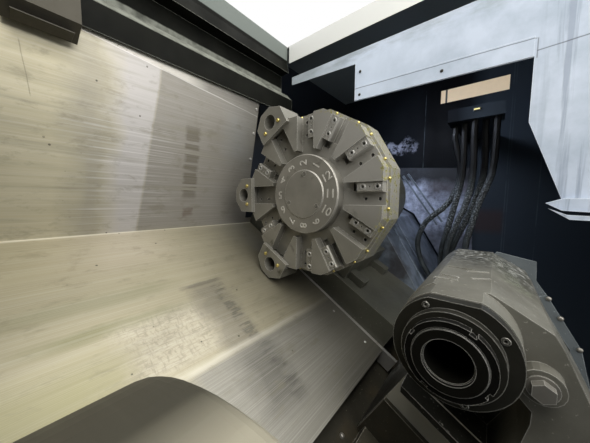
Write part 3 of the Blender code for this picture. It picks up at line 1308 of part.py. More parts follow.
def make_bulkhead():
    left = DOORWAY_RIGHT_X
    outline = [
        (HEADER_APRON_Y - GAP, BULKHEAD_TOP_Z),
        (HEADER_APRON_Y - GAP, BULKHEAD_STRIP_Z),
        (BULKHEAD_NOTCH_Y, BULKHEAD_STRIP_Z - (BULKHEAD_LOW_Z - BULKHEAD_LOW_RIGHT_Z)),
        (BULKHEAD_NOTCH_Y, BULKHEAD_LOW_Z),
        (BULKHEAD_POST_Y, BULKHEAD_LOW_RIGHT_Z),
        (BULKHEAD_POST_Y, BULKHEAD_POST_LOW_Z),
        (BULKHEAD_SLANT_Y, BULKHEAD_SLANT_Z),
        (FRONT_Y + SHEET + GAP, BULKHEAD_SLANT_Z - (BULKHEAD_LEDGE_Y - BULKHEAD_SLANT_Y)),
        (FRONT_Y + SHEET + GAP, BULKHEAD_TOP_Z),
    ]
    ledge = [
        (BULKHEAD_LEDGE_Y, BULKHEAD_LEDGE_Z),
        (BULKHEAD_SLANT_Y, BULKHEAD_SLANT_Z + SHEET),
        (FRONT_Y + SHEET + GAP, BULKHEAD_SLANT_Z + SHEET),
        (FRONT_Y + SHEET + GAP, BULKHEAD_SLANT_Z - BULKHEAD_REACH),
        (BULKHEAD_SLANT_Y, BULKHEAD_SLANT_Z - BULKHEAD_REACH / 2),
    ]
    solid("bulkhead", [prism(SECTION, outline, left, left + SHEET)], "blue_grey_paint",
          joins=[[prism(SECTION, ledge, left - BULKHEAD_REACH / 4, left + SHEET / 2)]])


def make_enclosure():
    t = SHEET
    left = LEFT_END_X
    right = RIGHT_END_X
    wall = HEADSTOCK_WALL_X
    under_roof = ROOF_Z - t - GAP
    outline = [
        (left, SKIRT_Z), (right, SKIRT_Z), (right, under_roof), (DOORWAY_RIGHT_X, under_roof),
        (DOORWAY_RIGHT_X, DOORWAY_SILL_Z), (DOORWAY_LEFT_X, DOORWAY_SILL_Z), (DOORWAY_LEFT_X, under_roof),
        (left, under_roof),
    ]
    solid("front_panel", [prism(FRONT, outline, FRONT_Y, FRONT_Y + t)], "outer_paint",
          joins=[[door_rail_part()], [pendant_arm_part()]])
    inside = FRONT_Y + t + GAP
    end_outline = [
        (inside, SKIRT_Z), (REAR_Y - t - GAP, SKIRT_Z), (REAR_Y - t - GAP, BULKHEAD_TOP_Z - t),
        (HEADER_BACK_Y - t, under_roof), (inside, under_roof),
    ]
    solid("right_end_panel", [prism(SECTION, end_outline, right - t, right)], "outer_paint")
    points = [(HEADSTOCK_REAR_Y, SKIRT_Z), (HEADSTOCK_REAR_Y, ROOF_Z), (FRONT_Y, ROOF_Z)]
    end = block(SECTION, (inside, HEADSTOCK_REAR_Y - t / 2), (SKIRT_Z, ROOF_Z - t / 2), (left, left + t))
    solid("headstock_cover", [prism(SECTION, sheet(points, t), left, wall - t - GAP)], "outer_paint",
          joins=[[end]])
    roof = block(SECTION, (FRONT_Y, HEADER_BACK_Y - GAP), (ROOF_Z - t, ROOF_Z), (DOORWAY_RIGHT_X, right))
    flange = block(SECTION, (inside, HEADER_LIP_Y), (ROOF_FLANGE_Z, ROOF_Z - t / 2),
                   (DOORWAY_RIGHT_X, DOORWAY_RIGHT_X + t))
    solid("right_roof", [roof], "outer_paint", joins=[[flange]])
    points = [(REAR_Y, SKIRT_Z), (REAR_Y, BULKHEAD_TOP_Z), (HEADER_BACK_Y + SHEET, ROOF_Z)]
    solid("rear_cover", [prism(SECTION, sheet(points, t), wall - t, right - t - GAP)], "outer_paint")


def make_inner_walls():
    wall = HEADSTOCK_WALL_X
    fold = slant(COVER_FOLD_S, COVER_N)
    slot = COVER_LIP + OVERRUN
    front = slant(COVER_FRONT_S - slot, COVER_N + slot)
    corner = slant(COVER_FOLD_S - slot, COVER_N + slot)
    outline = [
        (FRONT_Y + SHEET + GAP, PAN_FRONT_Z),
        (front[0] - (front[1] - PAN_FRONT_Z), PAN_FRONT_Z),
        front,
        corner,
        (HEADER_APRON_Y - slot, COVER_TOP_Z),
        (HEADER_APRON_Y - slot, ROOF_Z - SHEET - GAP),
        (FRONT_Y + SHEET + GAP, ROOF_Z - SHEET - GAP),
    ]
    nose = rod(SECTION, (0, 0), SPINDLE_NOSE_RADIUS + OVERRUN, wall - OVERRUN, wall + SHEET + OVERRUN, 40)
    end = END_WALL_X
    window = block(SECTION, (WINDOW_FRONT_Y, WINDOW_REAR_Y), (WINDOW_LOW_Z, WINDOW_HIGH_Z),
                   (end - OVERRUN, end + SHEET + OVERRUN))
    solid("headstock_wall", [prism(SECTION, outline, wall, wall + SHEET)], "dark_paint", cuts=[[nose]])
    inside = FRONT_Y + SHEET + GAP
    plate = block(SECTION, (inside, HEADER_BACK_Y - SHEET * 2), (SKIRT_Z, ROOF_Z - SHEET - GAP), (end, end + SHEET))
    solid("inner_end_wall", [plate], "dark_paint", joins=[[chip_pan_part()], *hose_hanger_parts()], cuts=[[window]])


def chip_pan_part():
    bed_front = slant(BED_FRONT_S, BED_N)[0]
    points = [
        (FRONT_Y + SHEET + GAP, PAN_FRONT_Z),
        (PAN_FLOOR_FRONT_Y, PAN_LOW_Z),
        (PAN_FLOOR_REAR_Y, PAN_LOW_Z),
        (bed_front - GAP, BASE_TOP_Z),
    ]
    return prism(SECTION, sheet(points, SHEET), DOORWAY_LEFT_X, END_WALL_X + SHEET / 2)


def door_rail_part():
    """The rail under the door, as long as the door and its travel."""
    left = DOORWAY_LEFT_X - DOOR_OVERLAP - DOOR_WIDTH
    high = DOORWAY_SILL_Z - DOOR_OVERLAP / 2 - GAP
    return block(SECTION, (DOOR_FRONT_Y, FRONT_Y + SHEET / 2), (high - RAIL_HEIGHT, high),
                 (left, left + DOOR_WIDTH + DOOR_TRAVEL))


def make_door():
    left = DOORWAY_LEFT_X - DOOR_OVERLAP - DOOR_WIDTH
    right = left + DOOR_WIDTH
    axis = carrier("door", (left, DOOR_BACK_Y, DOORWAY_SILL_Z), "machine")
    low = DOORWAY_SILL_Z - DOOR_OVERLAP / 2
    top_low = ROOF_Z + DOOR_TOP_RISE
    top_high = top_low + DOOR_TOP_THICKNESS
    outline = [
        (DOOR_FRONT_Y, low), (DOOR_BACK_Y, low), (DOOR_BACK_Y, top_low), (DOOR_TOP_REAR_Y, top_low),
        (DOOR_TOP_REAR_Y, top_high), (DOOR_FRONT_Y, top_high),
    ]
    pane_left = left + DOOR_WIDTH * DOOR_WINDOW_LEFT_SHARE
    pane_right = left + DOOR_WIDTH * DOOR_WINDOW_RIGHT_SHARE
    middle_y = (DOOR_FRONT_Y + DOOR_BACK_Y) / 2
    half = GLASS_THICKNESS / 2
    opening = block(FRONT, (pane_left, pane_right), (DOOR_WINDOW_LOW_Z, DOOR_WINDOW_HIGH_Z),
                    (DOOR_FRONT_Y - OVERRUN, DOOR_BACK_Y + OVERRUN))
    solid("sliding_door", [prism(SECTION, outline, left, right)], "outer_paint", axis, cuts=[[opening]])
    solid("door_window", [block(FRONT, (pane_left + GAP, pane_right - GAP),
                                (DOOR_WINDOW_LOW_Z + GAP, DOOR_WINDOW_HIGH_Z - GAP),
                                (middle_y - half, middle_y + half))], "glass", axis)
    x = right - HANDLE_INSET
    y = DOOR_FRONT_Y - HANDLE_STANDOFF
    bar = rod(PLAN, (x, y), HANDLE_RADIUS, HANDLE_LOW_Z, HANDLE_LOW_Z + HANDLE_LENGTH, 16)
    posts = []
    for share in HANDLE_POST_SHARES:
        z = HANDLE_LOW_Z + HANDLE_LENGTH * share
        posts.append([rod(FRONT, (x, z), HANDLE_RADIUS * HANDLE_POST_SHARE, y, DOOR_FRONT_Y - GAP, 12)])
    solid("door_handle", [bar], "black_oxide", axis, joins=posts)


def pendant_x(share):
    return PENDANT_LEFT_X + PENDANT_WIDTH * share


def pendant_z(share):
    return PENDANT_LOW_Z + PENDANT_HEIGHT * share


def make_pendant():
    axis = carrier("pendant", (PENDANT_HINGE_X, PENDANT_HINGE_Y, PENDANT_LOW_Z), "machine")
    front = PENDANT_FRONT_Y
    right = PENDANT_LEFT_X + PENDANT_WIDTH
    high = PENDANT_LOW_Z + PENDANT_HEIGHT
    r = PENDANT_ROUND
    outline = []
    for x, y, start in (
        (PENDANT_LEFT_X + r, front + r, 180), (right - r, front + r, 270),
        (right - r, PENDANT_BACK_Y - r, 0), (PENDANT_LEFT_X + r, PENDANT_BACK_Y - r, 90),
    ):
        outline += arc((x, y), r, start, start + 90, 4)
    half_screen = PENDANT_WIDTH * SCREEN_WIDTH_SHARE / 2
    middle = pendant_x(0.5)
    screen_low = pendant_z(SCREEN_LOW_SHARE)
    screen_high = screen_low + PENDANT_HEIGHT * SCREEN_HEIGHT_SHARE
    recess = block(FRONT, (middle - half_screen, middle + half_screen), (screen_low, screen_high),
                   (front - OVERRUN, front + SCREEN_DEPTH))
    row_z = pendant_z(DIAL_ROW_SHARE)
    stem = rod(FRONT, (pendant_x(ESTOP_SHARE), row_z), ESTOP_STEM_RADIUS + RUNNING_GAP, front - OVERRUN,
               front + ESTOP_HEIGHT + OVERRUN, 16)
    button = rod(FRONT, (pendant_x(CYCLE_BUTTON_SHARE), row_z), BUTTON_RADIUS + RUNNING_GAP, front - OVERRUN,
                 front + BUTTON_HEIGHT, 16)
    keys = []
    first_x = middle - KEY_PITCH * (KEY_COLUMNS - 1) / 2
    for row in range(KEY_ROWS):
        for column in range(KEY_COLUMNS):
            x = first_x + KEY_PITCH * column
            z = pendant_z(KEYS_LOW_SHARE) + KEY_PITCH * row
            keys.append(block(FRONT, (x - KEY_SIZE / 2, x + KEY_SIZE / 2), (z - KEY_SIZE / 2, z + KEY_SIZE / 2),
                              (front - KEY_HEIGHT, front + KEY_HEIGHT)))
    solid("pendant_case", [prism(PLAN, outline, PENDANT_LOW_Z, high)], "trim_paint", axis,
          cuts=[[recess, stem, button]], fittings=[keys])
    solid("pendant_screen", [block(FRONT, (middle - half_screen + GAP, middle + half_screen - GAP),
                                   (screen_low + GAP, screen_high - GAP),
                                   (front + SCREEN_DEPTH / 2, front + SCREEN_DEPTH - GAP))], "screen", axis)
    make_controls(front, row_z)


def make_controls(front, z):
    x = pendant_x(ESTOP_SHARE)
    gap = ESTOP_TRAVEL + GAP
    stop_axis = carrier("emergency_stop", (x, front, z), "pendant")
    profile = [
        (front - gap - ESTOP_HEIGHT, 0),
        (front - gap - ESTOP_HEIGHT, ESTOP_RADIUS * ESTOP_FACE_SHARE),
        (front - gap - ESTOP_HEIGHT * ESTOP_FACE_SHARE, ESTOP_RADIUS),
        (front - gap, ESTOP_RADIUS),
        (front - gap, ESTOP_STEM_RADIUS),
        (front + ESTOP_HEIGHT - ESTOP_TRAVEL, ESTOP_STEM_RADIUS),
        (front + ESTOP_HEIGHT - ESTOP_TRAVEL, 0),
    ]
    solid("emergency_stop", [turned(FRONT, (x, z), profile, 20)], "red_plastic", stop_axis)
    x = pendant_x(HANDWHEEL_SHARE)
    wheel_axis = carrier("handwheel", (x, front, z), "pendant")
    back = front - GAP
    face = back - WHEEL_THICKNESS
    profile = [
        (back, 0), (back, WHEEL_RADIUS * WHEEL_RIM_SHARE), (back - WHEEL_THICKNESS / 3, WHEEL_RADIUS),
        (face, WHEEL_RADIUS), (face, WHEEL_RADIUS * WHEEL_RIM_SHARE),
        (face + WHEEL_THICKNESS / 4, WHEEL_RADIUS * WHEEL_DISH_SHARE), (face + WHEEL_THICKNESS / 4, 0),
    ]
    grip = rod(FRONT, (x + WHEEL_RADIUS * WHEEL_GRIP_SHARE, z), WHEEL_GRIP_RADIUS, face - WHEEL_GRIP_LENGTH,
               back - GAP * 4, 12)
    solid("handwheel", [turned(FRONT, (x, z), profile, 24)], "black_oxide", wheel_axis, joins=[[grip]])
    x = pendant_x(KNOB_SHARE)
    knob_axis = carrier("override_knob", (x, front, z), "pendant")
    outline = []
    for grip_number in range(KNOB_GRIPS):
        turn = 360 * grip_number / KNOB_GRIPS
        outline.append(spin((x, z), KNOB_RADIUS, turn))
        outline.append(spin((x, z), KNOB_RADIUS * KNOB_VALLEY_SHARE, turn + 180 / KNOB_GRIPS))
    solid("override_knob", [prism(FRONT, outline, front - GAP - KNOB_HEIGHT, front - GAP)], "black_oxide", knob_axis)
    x = pendant_x(CYCLE_BUTTON_SHARE)
    button_axis = carrier("cycle_start", (x, front, z), "pendant")
    back = front + BUTTON_HEIGHT - BUTTON_TRAVEL - GAP * 2
    solid("cycle_start_button", [rod(FRONT, (x, z), BUTTON_RADIUS, back - BUTTON_HEIGHT, back, 16)],
          "green_plastic", button_axis)


def pendant_arm_part():
    """A bracket on the front panel with the pin that the pendant hangs and swings on."""
    top = PENDANT_LOW_Z + PENDANT_HEIGHT + GAP
    centre = (PENDANT_HINGE_X, PENDANT_HINGE_Y)
    half = ARM_RADIUS * ARM_SHARE
    outline = arc(centre, ARM_RADIUS, 180, 360, 12)
    outline += [(centre[0] + half, FRONT_Y + SHEET / 2), (centre[0] - half, FRONT_Y + SHEET / 2)]
    return prism(PLAN, outline, top, top + ARM_REACH)


def make_cabinet():
    front = HEADSTOCK_REAR_Y + GAP
    back = CABINET_BACK_Y
    left, right, low, high, wall = CABINET_LEFT_X, CABINET_RIGHT_X, CABINET_LOW_Z, CABINET_HIGH_Z, CABINET_WALL
    inside = block(SECTION, (front + wall, back + OVERRUN), (low + wall, high - wall), (left + wall, right - wall))
    solid("cabinet_shell", [block(SECTION, (front, back - wall - GAP), (low, high), (left, right))], "outer_paint",
          cuts=[[inside]])
    axis = carrier("cabinet_door", (left, back, low), "machine")
    door = block(SECTION, (back - wall, back), (low, high), (left, right))
    handle_x = right - CABINET_HANDLE_WIDTH * 2
    middle = (low + high) / 2
    grip = block(SECTION, (back - wall / 2, back + CABINET_HANDLE_DEPTH),
                 (middle - CABINET_HANDLE_LENGTH / 2, middle + CABINET_HANDLE_LENGTH / 2),
                 (handle_x - CABINET_HANDLE_WIDTH / 2, handle_x + CABINET_HANDLE_WIDTH / 2))
    solid("cabinet_door", [door], "outer_paint", axis, joins=[[grip]])


def make_light():
    back = HEADER_APRON_Y - GAP
    outline = [
        (back, LIGHT_HIGH_Z), (back, LIGHT_LOW_Z), (back - LIGHT_DEPTH, LIGHT_LOW_Z + LIGHT_DEPTH / 3),
        (back - LIGHT_DEPTH, LIGHT_HIGH_Z),
    ]
    solid("work_light", [prism(SECTION, outline, LIGHT_LEFT_X, LIGHT_RIGHT_X)], "dark_paint")


def smooth_route(points, count):
    """Points along a smooth curve through the route's own points."""
    corners = [Vector(point) for point in points]
    padded = [corners[0] * 2 - corners[1]] + corners + [corners[-1] * 2 - corners[-2]]
    spans = len(corners) - 1
    route = []
    for k in range(count):
        share = spans * k / (count - 1)
        span = min(int(share), spans - 1)
        t = share - span
        place = Vector()
        for power, weights in enumerate(CURVE_BASIS):
            for corner, weight in zip(padded[span:], weights):
                place += corner * (weight * t ** power / 2)
        route.append(place)
    return route


def make_hoses():
    for k, (setback, path) in enumerate(zip(HOSE_SETBACKS, HOSE_PATHS)):
        corners = [(HOSE_X + setback, y, z) for y, z in zip(path, HOSE_HEIGHTS)]
        points = smooth_route(corners, HOSE_POINTS)
        curve = bpy.data.curves.new("hose", "CURVE")
        curve.dimensions = "3D"
        curve.bevel_depth = HOSE_RADIUS
        curve.bevel_resolution = 2
        curve.use_fill_caps = True
        spline = curve.splines.new("POLY")
        spline.points.add(len(points) - 1)
        for target, point in zip(spline.points, points):
            target.co = (*point, 1)
        curve.materials.append(finish("rubber"))
        hose = bpy.data.objects.new("hydraulic_hose_" + str(k + 1), curve)
        bpy.context.scene.collection.objects.link(hose)
        hose.parent = CARRIERS["machine"]["empty"]


def hose_span(end):
    """The block that one end of the hoses meets: its reach along x, and along y."""
    margin = HOSE_RADIUS + BLOCK_MARGIN
    along = [HOSE_X + setback for setback in HOSE_SETBACKS]
    across = [path[end] for path in HOSE_PATHS]
    return (min(along) - margin, max(along) + margin), (min(across) - margin, max(across) + margin)


def hose_hanger_parts():
    """The block that the hoses hang from, on its bracket from the end wall."""
    along, across = hose_span(0)
    low = HOSE_HEIGHTS[0] + GAP
    middle = low + BLOCK_HEIGHT / 2
    hanger = block(SECTION, across, (low, low + BLOCK_HEIGHT), along)
    bracket = block(SECTION, (across[0] + BLOCK_MARGIN, across[1] - BLOCK_MARGIN), (middle, middle + HOSE_BRACKET),
                    (along[1] - BLOCK_MARGIN, END_WALL_X + SHEET / 2))
    return [[bracket], [hanger]]


def manifold_part():
    """The block on the bed that the hoses run down to."""
    along, (front, back) = hose_span(-1)
    top = HOSE_HEIGHTS[-1] - GAP
    outline = [(front, top), (back, top), (back, bed_surface(back) - OVERRUN), (front, bed_surface(front) - OVERRUN)]
    return prism(SECTION, outline, *along)


def bed_surface(y):
    """The height of the bed's slanted face at a given depth."""
    return (y * SIN_BED + BED_N) / COS_BED


def make_lathe():
    clear_scene()
    carrier("machine", (0, 0, 0))
    make_base()
    make_bed()
    make_headstock()
    make_spindle()
    make_drive()
    make_carriage_screw()
    make_carriage()
    make_tailstock()
    make_header()
    make_bulkhead()
    make_enclosure()
    make_inner_walls()
    make_door()
    make_pendant()
    make_cabinet()
    make_light()
    make_hoses()


make_lathe()
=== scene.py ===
"""Dressed scene of the slant-bed turning lathe.

Places are given from the spindle line, as in the part: x from the chuck's front face towards the
tailstock, y to the back, z up. On the slant, s runs up the bed to the back and n stands off the bed.
"""
import math

import bmesh
import bpy
from mathutils import Matrix, Vector


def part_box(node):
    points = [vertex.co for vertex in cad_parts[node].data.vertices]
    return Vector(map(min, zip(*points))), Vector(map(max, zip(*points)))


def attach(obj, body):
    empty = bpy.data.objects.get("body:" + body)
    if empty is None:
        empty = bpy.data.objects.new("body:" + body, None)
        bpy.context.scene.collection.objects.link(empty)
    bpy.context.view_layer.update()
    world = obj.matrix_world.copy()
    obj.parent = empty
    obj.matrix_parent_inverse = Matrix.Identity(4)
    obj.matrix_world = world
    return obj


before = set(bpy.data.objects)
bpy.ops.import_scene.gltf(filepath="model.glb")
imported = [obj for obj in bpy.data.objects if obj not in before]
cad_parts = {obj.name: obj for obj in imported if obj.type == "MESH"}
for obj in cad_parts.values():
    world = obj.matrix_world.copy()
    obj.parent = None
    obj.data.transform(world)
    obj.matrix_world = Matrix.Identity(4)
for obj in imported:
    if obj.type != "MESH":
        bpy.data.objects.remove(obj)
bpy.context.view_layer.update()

ORIGIN = Vector((-0.275, -0.1905, 1.05))
BED_ANGLE = math.radians(30)
X = Vector((1, 0, 0))
Y = Vector((0, 1, 0))
Z = Vector((0, 0, 1))
S = Vector((0, math.cos(BED_ANGLE), math.sin(BED_ANGLE)))
N = Vector((0, -math.sin(BED_ANGLE), math.cos(BED_ANGLE)))
TURRET_S = 0.496
HEADER_LEDGE_Z = (0.724, 0.798)
ROOF_Z = 0.985
REAR_Y = 1.05
END_WALL_X = 1.7035
SHIELD_X = 1.7005
HANGER_X = 1.17
CABINET_FACE_Y = 0.9685
REAR_FACE_Y = 0.8594
DOOR_FACE_Y = -0.8445
BODY_PAINT = (0.4, 0.41, 0.4)
ROOF_PAINT = (0.74, 0.74, 0.7)
# Near-black painted shade for the inside faces of the outer sheets.
INSIDE_SHADE = (0.01, 0.013, 0.018)


def place(x, y, z):
    return ORIGIN + Vector((x, y, z))


def slant(x, s, n):
    return ORIGIN + X * x + S * s + N * n


def axes(across, up, along, origin):
    """A matrix whose columns are three axes and a place."""
    turn = Matrix((across, up, along)).transposed().to_4x4()
    turn.translation = origin
    return turn


def station_axes(station, x, radius, across=0):
    """The axes at a turret station: across the slot, outward, and back along the spindle line."""
    turn = math.radians(30 * station)
    outward = -S * math.cos(turn) + N * math.sin(turn)
    side = outward.cross(X)
    origin = slant(x, TURRET_S, 0) + outward * radius + side * across
    return side, outward, X.copy(), origin


# Materials


def feed(tree, value, socket):
    if isinstance(value, bpy.types.NodeSocket):
        tree.links.new(value, socket)
    else:
        socket.default_value = value


def add_node(tree, kind, inputs=(), **settings):
    """A node with its settings made first, and each named input set or linked."""
    node = tree.nodes.new("ShaderNode" + kind)
    for key, value in settings.items():
        setattr(node, key, value)
    for key, value in dict(inputs).items():
        feed(tree, value, node.inputs[key])
    return node


def shade(colour, share):
    return tuple(min(1, tone * share) for tone in colour)


class Graph:
    """A material's node tree, with short calls for the nodes used here, and the tint as it stands so far."""

    def __init__(self, name):
        self.material = bpy.data.materials.new(name)
        self.material.use_nodes = True
        self.tree = self.material.node_tree
        self.shader = self.tree.nodes["Principled BSDF"].inputs
        self.place = self.add("TexCoord").outputs["Object"]
        self.tint = None

    def add(self, *what, **settings):
        return add_node(self.tree, *what, **settings)

    def noise(self, scale, detail=4, rough=0.55, twist=0):
        """Noise in the object's own space; scale is one number or one for each axis."""
        place = self.place
        if isinstance(scale, tuple):
            place = self.add("Mapping", {"Vector": place, "Scale": scale}).outputs["Vector"]
            scale = 1
        inputs = {"Vector": place, "Scale": scale, "Detail": detail, "Roughness": rough, "Distortion": twist}
        return self.add("TexNoise", inputs).outputs["Fac"]

    def cells(self, scale):
        return self.add("TexVoronoi", {"Vector": self.place, "Scale": scale}).outputs["Distance"]

    def ramp(self, fac, low, high, start=0, end=1):
        """A straight ramp from start to end, between two values of fac."""
        inputs = {"Value": fac, "From Min": low, "From Max": high, "To Min": start, "To Max": end}
        return self.add("MapRange", inputs, clamp=True).outputs["Result"]

    def cloud(self, low, high, *noise):
        """Blotches of noise, ramped between two of its values."""
        return self.ramp(self.noise(*noise), low, high)

    def level(self, start, end, *noise):
        """Noise spread over a range, as for roughness."""
        return self.ramp(self.noise(*noise), 0.3, 0.7, start, end)

    def mix(self, fac, one, other):
        one, other = [(*tone, 1) if isinstance(tone, tuple) else tone for tone in (one, other)]
        inputs = {"Factor": fac, "A": one, "B": other}
        return self.add("Mix", inputs, data_type="RGBA").outputs["Result"]

    def sum(self, kind, one, other):
        """One step of arithmetic, kept from 0 to 1 unless it subtracts."""
        clamped = kind != "SUBTRACT"
        return self.add("Math", {0: one, 1: other}, operation=kind, use_clamp=clamped).outputs[0]

    def dot(self, one, other):
        return self.add("VectorMath", {0: one, 1: other}, operation="DOT_PRODUCT").outputs["Value"]

    def measure(self, axis, wobble=0, scale=8):
        """The distance from the spindle's front along an axis, made uneven by noise."""
        value = self.sum("SUBTRACT", self.dot(self.place, axis), ORIGIN.dot(axis))
        if wobble:
            value = self.sum("SUBTRACT", value, self.ramp(self.noise(scale, 5), 0.25, 0.75, -wobble, wobble))
        return value

    def band(self, value, low, high, soft=0.01):
        """One between two places and nothing outside, over a soft edge on both sides."""
        rise = self.ramp(value, low - soft, low + soft)
        return self.sum("MULTIPLY", rise, self.ramp(value, high - soft, high + soft, 1, 0))

    def patch(self, *masks):
        """Where every mask holds."""
        mask = masks[0]
        for other in masks[1:]:
            mask = self.sum("MULTIPLY", mask, other)
        return mask

    def mottle(self, one, other, *cloud):
        """The first tint, in blotches of two colours."""
        self.tint = self.mix(self.cloud(*cloud), one, other)

    def stain(self, colour, share, *masks):
        """Takes the tint a share of the way to a colour, where every mask holds."""
        mask = self.patch(*masks)
        if share < 1:
            mask = self.sum("MULTIPLY", mask, share)
        self.tint = self.mix(mask, self.tint, colour)

    def edges(self, radius):
        """High near the solid's edges, low on its faces."""
        bevel = self.add("Bevel", {"Radius": radius}, samples=4).outputs["Normal"]
        flat = self.add("NewGeometry").outputs["Normal"]
        return self.ramp(self.dot(bevel, flat), 0.98, 0.8)

    def bump(self, height, distance, strength):
        inputs = {"Height": height, "Distance": distance, "Strength": strength}
        feed(self.tree, self.add("Bump", inputs).outputs["Normal"], self.shader["Normal"])

    def finish(self, rough, metallic=0, coat=0, specular=None):
        feed(self.tree, self.tint, self.shader["Base Color"])
        feed(self.tree, rough, self.shader["Roughness"])
        self.shader["Metallic"].default_value = metallic
        self.shader["Coat Weight"].default_value = coat
        self.shader["Coat Roughness"].default_value = 0.12
        if specular is not None:
            self.shader["Specular IOR Level"].default_value = specular
        return self.material


def ground_steel(name, colour, grime, edge, rough, grain, wear_and_highlight=0.6, edge_radius=0.0022, metallic=0.85, dirt=0.62,
                 depth=0.00025, specular=None):
    """Machined steel: grain from cutting, oily stains, and brighter edges that are partly rubbed wear and partly a
    painted highlight.
    """
    g = Graph(name)
    g.mottle(colour, shade(colour, 0.78), 0.38, 0.62, 7, 5)
    film = g.cloud(dirt, dirt + 0.1, 16, 6, 0.65, 0.6)
    g.stain(grime, 1, film)
    # Brighter edges: partly rubbed wear, partly a painted highlight.
    g.stain(edge, wear_and_highlight, g.edges(edge_radius))
    fine = g.noise(grain, 3, 0.6)
    g.bump(fine, depth, 0.35)
    level = g.ramp(fine, 0.3, 0.7, rough - 0.07, rough + 0.09)
    return g.finish(g.sum("ADD", level, g.patch(film, 0.12)), metallic, 0, specular)


def cast_paint(name, colour, worn, rough=0.42, coat=0.15):
    """Painted iron: orange peel, oil film, chips at the edges and small marks."""
    g = Graph(name)
    g.mottle(colour, shade(colour, 1.45), 0.35, 0.66, 5, 6, 0.6)
    g.stain(worn, 0.5, g.cloud(0.66, 0.72, 130, 3, 0.7))
    g.stain(worn, 1, g.edges(0.003), g.ramp(g.noise(30), 0.35, 0.65, 0.1, 0.9))
    g.bump(g.noise(90, 5, 0.6), 0.0012, 0.4)
    return g.finish(g.level(rough - 0.12, rough + 0.12, 11, 5), 0, coat)


def sheet_paint(name, colour, grime, rough, streaks):
    """Painted sheet metal with runs of dried coolant down it."""
    g = Graph(name)
    runs = g.noise((38, 38, 2.2), 5, 0.6)
    wet = g.patch(g.ramp(runs, 0.42, 0.66), g.cloud(0.35, 0.62, 4.5, 6, 0.6))
    g.mottle(colour, shade(colour, 0.9), 0.3, 0.7, 2)
    g.stain(grime, 1, g.ramp(wet, 0.15, 0.9, 0, streaks))
    g.bump(g.noise(220, 2), 0.0004, 0.25)
    return g.finish(g.ramp(runs, 0.3, 0.7, rough - 0.1, rough + 0.12), 0, 0.2)


def turret_steel():
    """The turret's ground faces, with painted light near the top, painted highlights on the edges, and oily chips on
    the rim's far side.
    """
    g = Graph("turret_ground")
    across = g.sum("SUBTRACT", g.measure(S), TURRET_S)
    up = g.measure(N)
    reach = g.sum("ADD", g.patch(across, across), g.patch(up, up))
    lean = math.radians(55)
    side = g.measure(N * math.sin(lean) - S * math.cos(lean))
    side = g.ramp(g.sum("SUBTRACT", side, -TURRET_S * math.cos(lean)), 0.06, 0.17)
    chips = g.patch(g.ramp(reach, 0.06, 0.0625), side, g.cloud(0.5, 0.62, 85, 5, 0.7))
    g.mottle((0.24, 0.23, 0.2), (0.195, 0.187, 0.16), 0.38, 0.62, 7, 5)
    g.stain((0.075, 0.07, 0.05), 1, g.cloud(0.6, 0.72, 16, 6, 0.65, 0.6))
    # Painted light: the turret's upper front faces lighter.
    g.stain((0.42, 0.41, 0.39), 0.4, g.ramp(g.measure(Z), 0.12, 0.25), g.ramp(g.measure(Y), 0.5, 0.36))
    # Painted highlights along the turret's edges.
    g.stain((0.8, 0.79, 0.74), 0.85, g.edges(0.0018))
    g.stain((0.38, 0.36, 0.13), 1, chips)
    fine = g.noise((60, 260, 260), 3, 0.6)
    g.bump(fine, 0.0002, 0.3)
    level = g.ramp(fine, 0.3, 0.7, 0.36, 0.48)
    return g.finish(g.sum("SUBTRACT", level, g.patch(chips, 0.2)), 0.35)


